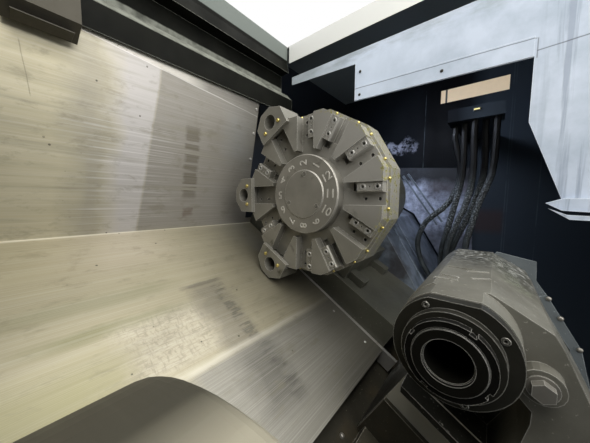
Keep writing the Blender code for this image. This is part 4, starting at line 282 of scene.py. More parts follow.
def cover_wall_marks(g, x, z):
    """On the upright sheet: a silver rubbed band, bright brushing, dark rub bars, a line and a scratch, with a painted
    highlight along the crest and painted light on the strip above it.
    """
    slanted = g.measure(Vector((1, 0, -0.112)), 0.003, 20)
    wall = g.ramp(z, 0.1205, 0.1225)
    silver = g.patch(g.ramp(g.measure(X, 0.03), 0.15, 0.21), g.ramp(slanted, 0.222, 0.234, 1, 0))
    g.stain((0.29, 0.27, 0.215), 0.75, wall, g.band(g.measure(X, 0.03), 0.085, 0.175, 0.035))
    g.stain((0.45, 0.43, 0.42), 0.95, wall, silver)
    g.stain((0.245, 0.23, 0.205), 0.95, wall, g.ramp(slanted, 0.222, 0.232))
    lines = g.cloud(0.52, 0.7, (1.6, 120, 190), 4, 0.6)
    where = g.patch(g.band(g.measure(X, 0.06), 0.12, 0.33, 0.05), g.band(z, 0.13, 0.47, 0.04))
    g.stain((0.78, 0.76, 0.75), 0.42, wall, lines, where)
    smears = g.cloud(0.54, 0.7, (2.6, 30, 42), 4, 0.6, 0.3)
    g.stain((0.24, 0.225, 0.17), 0.5, wall, smears)
    bars = g.cloud(0.42, 0.5, (3, 3, 62), 1, 0.4)
    g.stain((0.115, 0.1, 0.07), 0.72, bars, g.band(g.measure(X, 0.006, 60), 0.388, 0.44, 0.006),
            g.band(z, 0.235, 0.49, 0.02))
    g.stain((0.12, 0.085, 0.06), 0.6, g.band(g.measure(X, 0.01, 50), 0.395, 0.43, 0.005),
            g.band(g.measure(Z, 0.006, 50), 0.168, 0.196, 0.006))
    crest = g.measure(Vector((0.0885, 0, 1)), 0.0012, 14)
    # Painted highlight: a thin bright line along the crest.
    g.stain((0.92, 0.9, 0.86), 0.55, g.band(crest, 0.6585, 0.6605, 0.0008), g.ramp(x, 0.03, 0.1))
    # Painted light: the strip above the crest lighter.
    g.stain((0.72, 0.69, 0.62), 0.7, g.ramp(crest, 0.66, 0.662), g.band(x, 0.08, 0.42, 0.04))
    g.stain((0.4, 0.41, 0.4), 0.45, wall, g.band(g.measure(X, 0.02), 0.56, 0.67, 0.04),
            g.band(g.measure(Z, 0.02), 0.4, 0.6, 0.05))
    squiggle = g.cloud(0.52, 0.58, (60, 60, 170), 4, 0.6, 1.2)
    g.stain((0.17, 0.15, 0.09), 0.8, squiggle, g.band(crest, 0.6615, 0.67, 0.0015), g.band(x, 0.105, 0.225, 0.015))
    scratch = g.measure(Vector((1, 0, 0.14)), 0.004, 5)
    g.stain((0.2, 0.18, 0.12), 0.75, g.band(scratch, 0.08, 0.0815, 0.0007), g.band(z, 0.47, 0.58, 0.004))


def cover_slope_marks(g, x, z, s):
    """On the slope: olive oil bands, a cross-rubbed patch, a dark patch with a hard edge, and a painted highlight along
    a ridge.
    """
    slope = g.ramp(z, 0.1195, 0.1215, 1, 0)
    g.stain((0.19, 0.17, 0.11), 0.55, slope)
    uneven_s = g.measure(S, 0.012, 6)
    uneven_x = g.measure(X, 0.03, 10)
    g.stain((0.4, 0.355, 0.275), 0.65, slope, g.band(uneven_s, 0.66, 0.9, 0.04), g.band(x, 0.06, 0.3, 0.08))
    g.stain((0.15, 0.15, 0.06), 0.62, slope, g.band(uneven_s, 0.466, 0.496, 0.007),
            g.band(uneven_x, -0.03, 0.25, 0.05))
    g.stain((0.21, 0.205, 0.12), 0.55, slope, g.band(uneven_s, 0.545, 0.585, 0.012),
            g.band(uneven_x, -0.1, 0.24, 0.05))
    g.stain((0.29, 0.275, 0.135), 0.75, slope, g.ramp(uneven_s, 0.38, 0.46, 1, 0), g.ramp(uneven_x, 0.02, 0.14, 1, 0))
    along = g.cloud(0.5, 0.62, (190, 55, 55), 4, 0.65, 0.3)
    down = g.cloud(0.5, 0.62, (45, 210, 210), 4, 0.65, 0.3)
    hatch = g.sum("MAXIMUM", along, down)
    rubbed = g.patch(g.band(uneven_x, 0.1, 0.29, 0.03), g.band(uneven_s, 0.33, 0.48, 0.02))
    g.stain((0.44, 0.405, 0.325), 0.5, slope, rubbed)
    g.stain((0.15, 0.13, 0.09), 0.42, slope, rubbed, hatch)
    dark = g.patch(g.band(g.measure(X, 0.016, 24), 0.285, 0.382, 0.024), g.band(uneven_s, 0.3, 0.535, 0.018))
    g.stain((0.145, 0.133, 0.105), 0.6, slope, dark)
    teeth = g.cloud(0.46, 0.56, (14, 70, 70), 3, 0.6)
    g.stain((0.085, 0.078, 0.058), 0.7, slope, teeth, g.band(g.measure(X, 0.008, 40), 0.35, 0.386, 0.006),
            g.band(uneven_s, 0.31, 0.54, 0.012))
    g.stain((0.1, 0.09, 0.07), 0.65, slope, g.band(uneven_s, 0.532, 0.546, 0.004), g.band(uneven_x, 0.28, 0.385, 0.02))
    g.stain((0.19, 0.185, 0.165), 0.85, slope, g.ramp(s, 0.292, 0.306, 1, 0), g.ramp(uneven_x, 0.12, 0.2))
    g.stain((0.055, 0.051, 0.04), 0.6, slope, g.ramp(s, 0.15, 0.06), g.ramp(uneven_x, 0.4, 0.5))
    far_dark = g.patch(g.band(g.measure(X, 0.02, 20), 0.29, 0.395, 0.03), g.band(uneven_s, 0.135, 0.285, 0.022))
    g.stain((0.06, 0.056, 0.046), 0.62, slope, far_dark)
    g.stain((0.035, 0.032, 0.026), 0.5, slope, teeth, g.band(g.measure(X, 0.01, 40), 0.362, 0.402, 0.01),
            g.band(uneven_s, 0.135, 0.29, 0.015))
    # Painted highlight: a bright line along a ridge on the slope.
    g.stain((0.55, 0.525, 0.46), 0.55, slope, g.band(g.measure(S, 0.005, 9), 0.302, 0.314, 0.006),
            g.ramp(uneven_x, 0.13, 0.19))


def brushed_cover():
    """The way cover's stainless sheet: khaki film over brushing, painted shade that darkens it towards the tailstock, a
    painted highlight along its fold, and its marks.
    """
    g = Graph("brushed_stainless")
    x = g.measure(X)
    z = g.measure(Z)
    s = g.measure(S)
    fine = g.noise((2.5, 900, 900), 2, 0.5)
    bands = g.noise((1.1, 26, 26), 5, 0.62)
    g.tint = g.mix(g.ramp(bands, 0.35, 0.66), (0.53, 0.485, 0.345), (0.44, 0.4, 0.275))
    g.stain((0.36, 0.33, 0.22), 0.6, g.cloud(0.52, 0.72, (2, 14, 14), 5, 0.65))
    cover_slope_marks(g, x, z, s)
    cover_wall_marks(g, x, z)
    g.stain((0.8, 0.79, 0.76), 0.16, g.ramp(fine, 0.45, 0.75))
    for scale, reach in ((9, 0.035), (19, 0.042)):
        spots = g.ramp(g.cells(scale), reach, reach + 0.016, 1, 0)
        g.stain((0.05, 0.045, 0.03), 0.85, spots, g.cloud(0.47, 0.54, 3 + scale / 9))
    smudge = g.cloud(0.54, 0.68, (16, 34, 34), 6, 0.7, 0.3)
    g.stain((0.17, 0.155, 0.105), 0.38, smudge)
    near = g.patch(g.ramp(x, 0.16, -0.04), g.ramp(s, 0.44, 0.34))
    g.stain((0.16, 0.145, 0.095), 0.45, near)
    # Painted shade: the light falls off towards the tailstock, and more on the slope near the turret.
    far = g.measure(X, 0.03, 4)
    g.stain((0.075, 0.07, 0.055), 0.5, g.ramp(far, 0.52, 0.7))
    g.stain((0.07, 0.065, 0.05), 0.8, g.ramp(far, 0.27, 0.66), g.ramp(z, 0.1195, 0.1215, 1, 0),
            g.ramp(s, 0.25, 0.4, 0.45, 1))
    # Painted highlight: the fold between wall and slope bright, fading towards the tailstock.
    fold = g.band(g.measure(Z), 0.1185, 0.1225, 0.001)
    g.stain((0.72, 0.69, 0.6), 0.55, fold, g.ramp(x, 0.34, 0.1, 0.25, 1))
    g.bump(fine, 0.0002, 0.3)
    g.shader["Anisotropic"].default_value = 0.5
    return g.finish(g.ramp(bands, 0.3, 0.7, 0.38, 0.48), 0.35)


def lined_paint_and_inside_shade(name, colour, inner, seams, *limits):
    """Outer sheet paint with panel seams, that turns to an inner colour of painted shade where every limit on an axis
    holds.
    """
    g = Graph(name)
    g.mottle(colour, shade(colour, 0.92), 0.3, 0.7, 2)
    g.stain((0.22, 0.21, 0.18), 0.35, g.ramp(g.measure(Z, 0.05), -0.86, -0.98))
    for axis, seam in seams:
        g.stain((0.05, 0.05, 0.05), 0.9, g.band(g.measure(axis), seam - 0.0016, seam + 0.0016, 0.0006))
    # Painted shade: the sheet's inside faces take the inner colour.
    inside = g.patch(*[g.ramp(g.measure(axis), limit - 0.0004, limit + 0.0004, 1, 0) for axis, limit in limits])
    g.stain(inner, 1, inside)
    g.bump(g.noise(220, 2), 0.0004, 0.25)
    return g.finish(g.level(0.36, 0.46, 6), 0, 0.15)


def bulkhead_paint():
    """The light blue-grey sheet: faint blotches, greyer where it nears the header, and dark runs on the post."""
    g = Graph("blue_grey_paint")
    y = g.measure(Y)
    z = g.measure(Z)
    g.mottle((0.36, 0.42, 0.5), (0.5, 0.56, 0.66), 0.35, 0.65, 8, 6, 0.62)
    g.stain((0.66, 0.74, 0.86), 0.55, g.ramp(y, 0.1, 0.4))
    g.stain((0.34, 0.38, 0.39), 0.7, g.ramp(g.measure(Y, 0.04), 0.46, 0.62))
    g.stain((0.24, 0.28, 0.3), 0.7, g.ramp(g.measure(Z, 0.012, 16), 0.775, 0.815),
            g.cloud(0.4, 0.62, (4, 6, 26), 5, 0.7))
    runs = g.cloud(0.52, 0.6, (40, 34, 1.6), 5, 0.62, 0.4)
    g.stain((0.19, 0.23, 0.3), 0.6, runs, g.ramp(y, -0.1, -0.16))
    joint = g.measure(Vector((0, -0.0255, 1)), 0.0012, 20)
    g.stain((0.05, 0.06, 0.075), 0.8, g.band(joint, 0.6715, 0.674, 0.0008), g.ramp(y, -0.105, -0.1))
    beyond = g.measure(Vector((0, 0.06, 1)), 0.001, 20)
    g.stain((0.05, 0.06, 0.075), 0.75, g.band(beyond, 0.629, 0.632, 0.001), g.ramp(y, -0.103, -0.106))
    g.stain((0.06, 0.07, 0.085), 0.7, g.band(y, -0.1065, -0.104, 0.0008), g.band(z, 0.618, 0.67, 0.002))
    g.stain((0.78, 0.82, 0.86), 0.8, g.edges(0.003))
    g.bump(g.noise(180, 3), 0.0005, 0.3)
    return g.finish(g.level(0.4, 0.55, 9, 5), 0, 0.05)


def cover_paint():
    """The right way covers' blue-grey steel, rubbed and patchy, with bright sheet edges."""
    g = Graph("navy_cover_paint")
    g.mottle((0.085, 0.105, 0.125), (0.22, 0.26, 0.32), 0.38, 0.62, 11, 6, 0.65, 0.5)
    g.stain((0.05, 0.045, 0.05), 0.8, g.cloud(0.52, 0.62, 5, 4))
    g.stain((0.62, 0.68, 0.74), 0.9, g.edges(0.003))
    g.bump(g.noise(150, 3), 0.0004, 0.3)
    return g.finish(g.level(0.32, 0.48, 14, 5), 0.25, 0.1)


def shield_paint():
    """The shield's pale violet-grey film, mottled, with a painted brown reflection and painted black shade towards its
    top and far side.
    """
    g = Graph("shield_paint")
    y = g.measure(Y, 0.02, 9)
    z = g.measure(Z, 0.03, 9)
    g.mottle((0.19, 0.21, 0.28), (0.5, 0.55, 0.7), 0.38, 0.62, 26, 6, 0.72)
    # Painted reflection: a brown cast high on the shield.
    g.stain((0.06, 0.05, 0.052), 0.85, g.ramp(z, 0.22, 0.3), g.ramp(y, 0.32, 0.26))
    # Painted shade: the top turns black.
    g.stain((0.012, 0.014, 0.017), 0.95, g.ramp(z, 0.33, 0.38))
    g.stain((0.06, 0.06, 0.066), 0.8, g.ramp(z, 0.1, 0.02))
    g.bump(g.noise(150, 3), 0.0004, 0.3)
    return g.finish(g.level(0.45, 0.6, 14, 5), 0, 0, 0.3)


def dark_wall_paint():
    """The end wall's near-black paint: sheet joints, a pale dried patch and a faint brown reflection."""
    g = Graph("dark_wall_paint")
    y = g.measure(Y)
    z = g.measure(Z)
    g.mottle((0.0028, 0.0042, 0.0065), (0.0058, 0.0078, 0.0105), 0.35, 0.65, 5, 5)
    g.stain((0.0009, 0.0012, 0.0018), 0.85, g.ramp(z, 0.4, 0.46), g.ramp(y, 0.1, 0.16), g.ramp(y, 0.37, 0.3))
    g.stain((0.042, 0.054, 0.068), 0.8, g.ramp(y, 0.1, 0.02))
    for place_y, width in ((-0.083, 0.002), (-0.093, 0.0012), (-0.212, 0.0018), (0.33, 0.0018)):
        g.stain((0.07, 0.085, 0.1), 0.8, g.band(y, place_y - width, place_y + width, 0.0012),
                g.cloud(0.38, 0.6, (4, 4, 9), 3))
    crust = g.cloud(0.4, 0.54, 34, 5, 0.72)
    g.stain((0.42, 0.44, 0.54), 0.85, crust, g.band(g.measure(Y, 0.05, 14), 0.4, 0.56, 0.02),
            g.band(g.measure(Z, 0.04, 14), 0.56, 0.635, 0.015))
    g.stain((0.055, 0.036, 0.034), 0.7, g.band(y, -0.08, 0.045, 0.01), g.band(z, 0.06, 0.185, 0.02))
    g.bump(g.noise(160, 3), 0.0003, 0.25)
    return g.finish(g.level(0.48, 0.62, 8, 5), 0, 0, 0.08)


def chuck_steel():
    """The chuck's smooth rim, cut on a lathe and plain but for fine rings, with a painted reflection that lightens it
    where its front rim turns to the way cover.
    """
    g = Graph("chuck_turned")
    rings = g.noise((260, 3, 3), 2, 0.5)
    g.mottle((0.05, 0.047, 0.036), (0.062, 0.058, 0.045), 0.35, 0.65, 4, 4)
    # Painted reflection: the front rim lighter where it faces the way cover.
    painted_reflection = g.patch(g.ramp(g.measure(Y), 0.036, 0.008), g.ramp(g.measure(X), -0.075, -0.02))
    g.stain((0.36, 0.335, 0.26), 0.75, painted_reflection)
    g.bump(rings, 0.00003, 0.3)
    return g.finish(g.ramp(rings, 0.3, 0.7, 0.46, 0.52), 0.1, 0, 0.1)


def hose_rubber():
    """Oily hose rubber, with painted speckled highlights along its lower part and painted shade that loses it in the
    dark towards its upper end.
    """
    g = Graph("hose_rubber")
    g.mottle((0.014, 0.017, 0.018), (0.04, 0.048, 0.052), 0.35, 0.65, 30, 4)
    # Painted highlights: light grey specks on the hoses' lower part.
    damp = g.cloud(0.5, 0.62, 150, 4, 0.7)
    g.stain((0.27, 0.3, 0.32), 0.9, damp, g.band(g.measure(Z, 0.02), 0.1, 0.3, 0.05))
    # Painted shade: the hoses go near-black towards their upper end.
    g.stain((0.0015, 0.0018, 0.0022), 1, g.ramp(g.measure(Z, 0.02), 0.28, 0.37))
    g.bump(g.noise(220, 2), 0.0003, 0.3)
    return g.finish(g.level(0.4, 0.55, 24, 4), 0, 0, 0.3)


def header_paint():
    """Near-black wet paint that also stands for the shadow above the ledge, with one lighter, rubbed ledge and painted
    highlights on its edges.
    """
    g = Graph("header_paint_wet")
    # Dark paint, and also painted shadow: the near-black band above the ledge.
    g.mottle((0.003, 0.0034, 0.0026), (0.007, 0.0074, 0.0056), 0.35, 0.65, 9, 5)
    ledge = g.patch(g.band(g.measure(Z, 0.001, 40), HEADER_LEDGE_Z[0], HEADER_LEDGE_Z[1], 0.002),
                    g.ramp(g.noise(28, 5), 0.3, 0.6, 0.35, 1))
    g.stain((0.185, 0.192, 0.165), 1, ledge)
    g.stain((0.17, 0.19, 0.175), 0.8, g.ramp(g.measure(Z), 0.918, 0.922),
            g.ramp(g.measure(X, 0.05), 0.1, 0.45, 0.35, 1))
    # Painted highlights along the header's edges.
    g.stain((0.34, 0.35, 0.3), 0.8, g.edges(0.0022))
    g.bump(g.noise(160, 3), 0.0004, 0.3)
    return g.finish(g.level(0.55, 0.72, 12, 5), 0, 0, 0.06)


def bed_paint():
    """The bed's dark iron under a brown film of oil, with fine chips left in it."""
    g = Graph("bed_casting_paint")
    g.mottle((0.016, 0.0145, 0.0095), (0.034, 0.031, 0.022), 0.35, 0.66, 7, 6, 0.6)
    g.stain((0.06, 0.042, 0.02), 0.6, g.cloud(0.52, 0.66, 4, 5, 0.6))
    g.stain((0.24, 0.23, 0.18), 0.6, g.cloud(0.66, 0.72, 140, 3, 0.7))
    g.stain((0.46, 0.44, 0.37), 0.7, g.edges(0.0025), g.ramp(g.noise(25), 0.3, 0.6, 0.2, 1))
    g.bump(g.noise(90, 5, 0.6), 0.001, 0.4)
    return g.finish(g.level(0.36, 0.54, 11, 5), 0, 0, 0.25)


def tail_paint():
    """The tailstock's dark casting: painted highlights on its edges, painted shade low down and a damp greenish crust
    on its far shoulder.
    """
    g = Graph("tail_casting_paint")
    g.mottle((0.092, 0.088, 0.072), (0.15, 0.146, 0.124), 0.35, 0.66, 6, 6, 0.6)
    # Painted shade: the lower body and base near-black, as in the shadow under the cylinder.
    low = g.ramp(g.measure(N, 0.012, 12), -0.155, -0.095, 1, 0)
    g.stain((0.014, 0.0135, 0.0105), 1, low)
    marks = g.cloud(0.64, 0.7, 120, 3, 0.7)
    g.stain((0.42, 0.41, 0.36), 0.5, marks)
    # Painted highlights along the casting's edges.
    g.stain((0.62, 0.61, 0.56), 0.9, g.edges(0.0025), g.ramp(g.noise(25), 0.3, 0.6, 0.25, 1))
    # Painted highlight: a bright line along the base's top edge at its near end.
    g.stain((0.55, 0.53, 0.45), 0.85, g.band(g.measure(X), 0.498, 0.502, 0.0005), g.ramp(g.measure(N), -0.16, -0.165))
    damp = g.patch(g.band(g.measure(X, 0.03, 20), 0.6, 0.87, 0.03),
                   g.band(g.measure(Vector((-0.2, 1, 0)), 0.016, 22), -0.236, -0.186, 0.012),
                   g.ramp(g.measure(Z), 0.02, 0.04), g.cloud(0.42, 0.6, 60, 6, 0.75))
    g.stain((0.3, 0.32, 0.235), 0.75, damp)
    splash = g.patch(g.ramp(g.measure(X, 0.04, 14), 0.62, 0.76), g.cloud(0.5, 0.6, 70, 6, 0.75))
    g.stain((0.045, 0.045, 0.038), 0.75, g.ramp(g.measure(X, 0.03, 14), 0.58, 0.7))
    g.stain((0.025, 0.026, 0.02), 0.7, g.cloud(0.52, 0.62, 22, 5, 0.7), g.ramp(g.measure(X), 0.6, 0.7))
    g.stain((0.46, 0.46, 0.42), 0.7, splash)
    g.bump(g.noise(90, 5, 0.6), 0.001, 0.4)
    level = g.level(0.32, 0.5, 11, 5)
    return g.finish(g.sum("SUBTRACT", level, g.patch(damp, 0.22)), 0.15, 0.1, 0.3)


def plain_plastic(name, colour, rough=0.4, specular=None):
    g = Graph(name)
    g.mottle(colour, shade(colour, 0.85), 0.3, 0.7, 9)
    g.bump(g.noise(700, 2), 0.0002, 0.3)
    return g.finish(g.level(rough - 0.05, rough + 0.08, 40), 0, 0, specular)


def glowing(name, colour, strength):
    g = Graph(name)
    g.shader["Emission Color"].default_value = (*colour, 1)
    g.shader["Emission Strength"].default_value = strength
    g.mottle(colour, shade(colour, 0.9), 0.3, 0.7, 30)
    return g.finish(0.3)


def pane_glass():
    g = Graph("pane_glass")
    g.shader["Transmission Weight"].default_value = 1
    g.shader["IOR"].default_value = 1.45
    g.mottle((0.82, 0.88, 0.87), (0.76, 0.83, 0.82), 0.3, 0.7, 3)
    return g.finish(g.ramp(g.noise(6, 5), 0.4, 0.8, 0.02, 0.12), 0)


MATERIALS = {
    "turret": turret_steel(),
    "hub": ground_steel("hub_ground", (0.265, 0.253, 0.222), (0.09, 0.085, 0.065), (0.8, 0.78, 0.72), 0.4,
                        (300, 90, 90), 0.9, 0.002, 0.4),
    "number": ground_steel("number_ground", (0.6, 0.58, 0.53), (0.3, 0.28, 0.23), (0.85, 0.84, 0.8), 0.4,
                           (300, 90, 90), 0.6, 0.0008, 0.4),
    "clamp": ground_steel("clamp_ground", (0.16, 0.152, 0.13), (0.06, 0.058, 0.045), (0.6, 0.58, 0.53), 0.4,
                          (200, 200, 200), 0.8, 0.0012, 0.4),
    "bright": ground_steel("bright_ground", (0.5, 0.49, 0.46), (0.14, 0.13, 0.09), (0.8, 0.79, 0.76), 0.34,
                           (400, 60, 60), 0.7, 0.0012, 0.6),
    "bolt": ground_steel("bolt_oiled", (0.22, 0.21, 0.185), (0.06, 0.055, 0.04), (0.66, 0.65, 0.6), 0.36,
                         (120, 120, 120), 0.9, 0.002, 0.5, 0.6),
    "chuck": chuck_steel(),
    "oxide": ground_steel("black_oxide_steel", (0.03, 0.029, 0.023), (0.014, 0.013, 0.009), (0.6, 0.59, 0.54), 0.4,
                          (300, 120, 120), 0.95, 0.002, 0.5, 0.64),
    "quill": ground_steel("quill_ground", (0.0085, 0.0082, 0.0066), (0.005, 0.0048, 0.004), (0.6, 0.59, 0.55), 0.4,
                          (600, 30, 30), 0.95, 0.0016, 0.2, 0.64, 0.0001, 0.12),
    "casting": cast_paint("casting_paint", (0.06, 0.06, 0.047), (0.34, 0.33, 0.28)),
    "bed": bed_paint(),
    "tail": tail_paint(),
    "motor": cast_paint("motor_paint_cast", (0.035, 0.038, 0.042), (0.16, 0.16, 0.16)),
    "dark": dark_wall_paint(),
    "lamp_case": plain_plastic("lamp_case_paint", (0.09, 0.083, 0.066), 0.6, 0.1),
    "blue_grey": bulkhead_paint(),
    "end_plate": cast_paint("end_plate_paint", (0.095, 0.108, 0.114), (0.4, 0.44, 0.46), 0.36, 0.1),
    "navy": cover_paint(),
    "shield": shield_paint(),
    "header": header_paint(),
    "outer": sheet_paint("outer_panel_paint", BODY_PAINT, (0.3, 0.3, 0.28), 0.42, 0.12),
    "front_sheet": lined_paint_and_inside_shade("front_sheet_paint_and_inside_shade", BODY_PAINT, INSIDE_SHADE, ((Z, -0.62), (X, 1.22)), (-Y, 0.618)),
    "end_sheet": lined_paint_and_inside_shade("end_sheet_paint_and_inside_shade", BODY_PAINT, INSIDE_SHADE, ((Z, -0.42), (Y, 0.12)), (X, 1.8485)),
    # The roof's inside faces: its cream paint darkened as painted shade.
    "roof_sheet": lined_paint_and_inside_shade("roof_sheet_paint_and_inside_shade", ROOF_PAINT, (0.2, 0.225, 0.225), (), (-X, -0.9015),
                              (Z, ROOF_Z - 0.001)),
    "rear_sheet": lined_paint_and_inside_shade("rear_sheet_paint_and_inside_shade", BODY_PAINT, INSIDE_SHADE, ((X, 0.84), (Z, -0.42)),
                              (Y, REAR_Y - 0.0015), (Vector((0, 0.723, 0.69)), 1.3315)),
    "trim": plain_plastic("trim_satin", (0.055, 0.065, 0.078), 0.42),
    "rubber": plain_plastic("belt_rubber", (0.018, 0.018, 0.017), 0.42),
    "hose": hose_rubber(),
    "nut": ground_steel("ring_nut_black", (0.0065, 0.0062, 0.0054), (0.005, 0.0048, 0.004), (0.5, 0.49, 0.45), 0.46,
                        (300, 120, 120), 0.95, 0.0014, 0.2, 0.64, 0.0001, 0.12),
    "red": plain_plastic("stop_red", (0.62, 0.02, 0.015), 0.28),
    "green": plain_plastic("start_green", (0.03, 0.34, 0.09), 0.28),
    "brass": ground_steel("brass_turned", (0.7, 0.58, 0.2), (0.3, 0.25, 0.08), (0.92, 0.84, 0.5), 0.28,
                          (200, 200, 200), 0.6, 0.001),
    "lens": plain_plastic("lamp_lens_unlit", (0.085, 0.079, 0.064), 0.5, 0.15),
    # Painted light: the window film glows to stand for light coming in from outside.
    "amber": glowing("window_film", (0.62, 0.5, 0.35), 0.62),
    "indicator": glowing("indicator_yellow", (0.85, 0.72, 0.3), 0.8),
    "screen": glowing("screen_face", (0.02, 0.05, 0.09), 0.4),
    "glass": pane_glass(),
    "cover": brushed_cover(),
}

NODE_FINISH = {
    "turret": "turret_disc boring_holder_1 boring_holder_2 boring_holder_3",
    "hub": "turret_hub",
    "bright": "spindle motor_pulley carriage_screw wiper_plate",
    "chuck": "chuck_body chuck_cylinder",
    "oxide": "master_jaw_1 master_jaw_2 master_jaw_3 tailstock_flange door_handle handwheel override_knob",
    "quill": "quill",
    "casting": "base_casting headstock saddle cross_slide turret_housing",
    "bed": "bed_casting tailstock_wiper",
    "tail": "tailstock_body",
    "bolt": "tailstock_bolt",
    "motor": "spindle_motor cross_motor",
    "dark": "headstock_wall inner_end_wall",
    "lamp_case": "work_light",
    "blue_grey": "bulkhead",
    "end_plate": "tailstock_end_plate",
    "navy": "right_cover_inner right_cover_middle right_cover_outer",
    "header": "rear_header",
    "outer": "headstock_cover sliding_door cabinet_shell cabinet_door",
    "front_sheet": "front_panel",
    "end_sheet": "right_end_panel",
    "roof_sheet": "right_roof",
    "rear_sheet": "rear_cover",
    "trim": "pendant_case",
    "rubber": "drive_belt",
    "hose": "hydraulic_hose_1 hydraulic_hose_2 hydraulic_hose_3 hydraulic_hose_4 hydraulic_hose_5",
    "nut": "quill_ring_nut",
    "red": "emergency_stop",
    "green": "cycle_start_button",
    "screen": "pendant_screen",
    "glass": "door_window",
    "cover": "left_way_cover",
}


def dress_nodes():
    for finish, names in NODE_FINISH.items():
        for name in names.split():
            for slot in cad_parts[name].material_slots:
                slot.material = MATERIALS[finish]


# Pieces. A screw is given as its head's radius and height, and a place in the section as y and z

SMOOTH_ANGLE = math.radians(35)
CHAMFER_SLOPE = 1.3
STATIONS = 12
HOLDER_STATIONS = (5, 7, 9)
TURNED_STATIONS = (4, 11)
FIRST_NUMBER = 10
NUMBER_PLACE = (0.564, 0.0985)
NUMBER_SIZE = 0.036
NUMBER_RISE = 0.0007
NUMBER_ROUND = 0.0003
RIM_PLUG_PLACE = (0.606, 0.2562)
RIM_PLUG_OFFSETS = (-0.3, 0.3)
RIM_PLUG = (0.0042, 0.0045)
HOLDER_PLUG_PLACE = (0.5562, 0.2635)
HOLDER_PLUG_ACROSS = 0.0345
HOLDER_PLUG = [(0, 0), (0, 0.0062), (0.004, 0.0062), (0.0055, 0.0048), (0.0055, 0.0022), (0.003, 0.002), (0.003, 0)]
CAP_FACE_X = 0.5612
CAP_RING = 0.0636
CAP_TURNS = (65, 185, 305)
CAP_SCREW = (0.0066, 0.001)
CLAMP_FACE_X = 0.5783
CLAMP_SCREW_RADII = (0.1921, 0.232)
CLAMP_SCREW_ACROSS = 0.018
CLAMP_HEAD = [(0, 0.0046), (0, 0.0082), (0.003, 0.0082), (0.0038, 0.0074), (0.0038, 0.005), (0.003, 0.0046),
              (0, 0.0046)]
CLAMP_SOCKET = (0.0046, 0.0008)
FLANGE_FACE_X = 0.3735
FLANGE_SCREWS = ((0.0361, 0.0641), (-0.0613, 0.0407), (-0.0219, -0.0739), (0.0603, -0.0273))
FLANGE_SCREW = (0.0055, 0.003)
END_PLATE_X = 0.8695
END_PLATE_SCREWS = ((-0.166, -0.029), (-0.191, -0.076), (-0.229, -0.147))
DOME_SCREW = (0.0062, 0.005)
STRIP_X = (0.87, 0.8802)
STRIP_OUTER = [(-0.15, 0.064), (-0.207, 0.03), (-0.276, -0.012), (-0.352, -0.096)]
STRIP_INNER = [(-0.33, -0.11), (-0.262, -0.028), (-0.196, 0.012), (-0.14, 0.046)]
CAST_TOP_Z = 0.0782
CAST_MARKS = ((0.491, 0.025, 0.04, 8), (0.604, 0.012, 0.052, -4), (0.536, -0.027, 0.034, 35),
              (0.519, 0.021, 0.03, -12), (0.591, -0.02, 0.04, 24))
CAST_MARK_HALF = 0.0032
CAST_MARK_RISE = 0.0022
CAST_MARK_CHAMFER = 0.0016
COVER_EDGE_X = 0.688
COVER_EDGE_LOW = Vector((0.89, 0.122))
COVER_EDGE_HIGH = Vector((0.778, 0.668))
COVER_EDGE_SHARES = (0.14, 0.34, 0.54, 0.74, 0.92)
COVER_EDGE_NORMAL = (0, -0.546, -0.112)
COVER_EDGE_SCREW = (0.006, 0.004)
COVER_SLOPE_SCREWS = ((0.697, 0.25), (0.697, 0.111), (0.7405, 0.016))
COVER_SLOPE_N = -0.3402
COVER_SLOPE_SCREW = (0.0042, 0.003)
TROUGH_SCREW_PLACE = (0.442, 0.016, -0.3952)
BULKHEAD_LAP = [(0.4262, 0.638), (-0.099, 0.6235), (-0.099, 0.676), (0.4262, 0.69)]
BULKHEAD_LAP_X = (0.8974, 0.8997)
BULKHEAD_FOLD = [(-0.15, 0.212), (-0.185, 0.196), (-0.33, 0.19), (-0.33, 0.18), (-0.19, 0.184)]
BULKHEAD_FOLD_X = (0.872, 0.8845)
BULKHEAD_SCREWS_X = 0.8972
BULKHEAD_SCREWS = ((0.405, 0.656), (0.119, 0.655), (0.405, 0.745))
BULKHEAD_SCREW = (0.0055, 0.0028)
SHIELD = [(0.014, -0.067), (0.079, -0.228), (0.394, -0.0535), (0.532, -0.0535), (0.662, 0.151), (0.275, 0.334)]
SHIELD_RAILS = (((0.4483, 0.4031), (0.2318, 0.0842)), ((0.4174, 0.4148), (0.2051, 0.1045)))
SHIELD_SUNK = 0.0005
RAIL_HALF = 0.0062
RAIL_RISE = 0.004
RAIL_CHAMFER = 0.0015
SEATED = 0.0002
FILM = (-0.085, 0.812, 0.268, 0.921)
FILM_X = (1.71, 1.7112)
FILM_BAR = (0.216, 0.815, 0.226, 0.918)
FILM_BAR_X = (1.7065, 1.7092)
FILM_BAR_CHAMFER = 0.0008
INDICATOR_PLACE = (0.0349, 0.5945)
INDICATOR_CASE = (0.0125, 0.0055)
INDICATOR_FACE = (0.009, 0.0024)
INDICATOR_RISE = 0.003
INDICATOR_TOP = 0.0038
INDICATOR_CHAMFERS = (0.0015, 0.0005)
LENS_PLACE = (0.0355, 0.732, 0.5988)
LENS_HALF = (0.048, 0.022)
LENS_RISE = 0.002
LOUVRE_PITCH = 0.026
LOUVRE_HOOD = [(-0.009, 0), (-0.009, 0.0018), (-0.0085, 0.0075), (-0.006, 0.0088), (0.009, 0.0014), (0.011, 0)]
CABINET_LOUVRES = (0.4, 8, (0.4, 1.55))
REAR_LOUVRES = (0.42, 10, (0.05, 1.1))
REAR_LOUVRES_Z = 0.36
HATCH_PLACE = (0.58, 1.1)
HATCH_HALF = (0.3, 0.27)
HATCH_THICK = 0.004
HATCH_INSET = 0.025
HATCH_SCREW = (0.007, 0.0035)
GASKET_OVER_PANE = 0.012
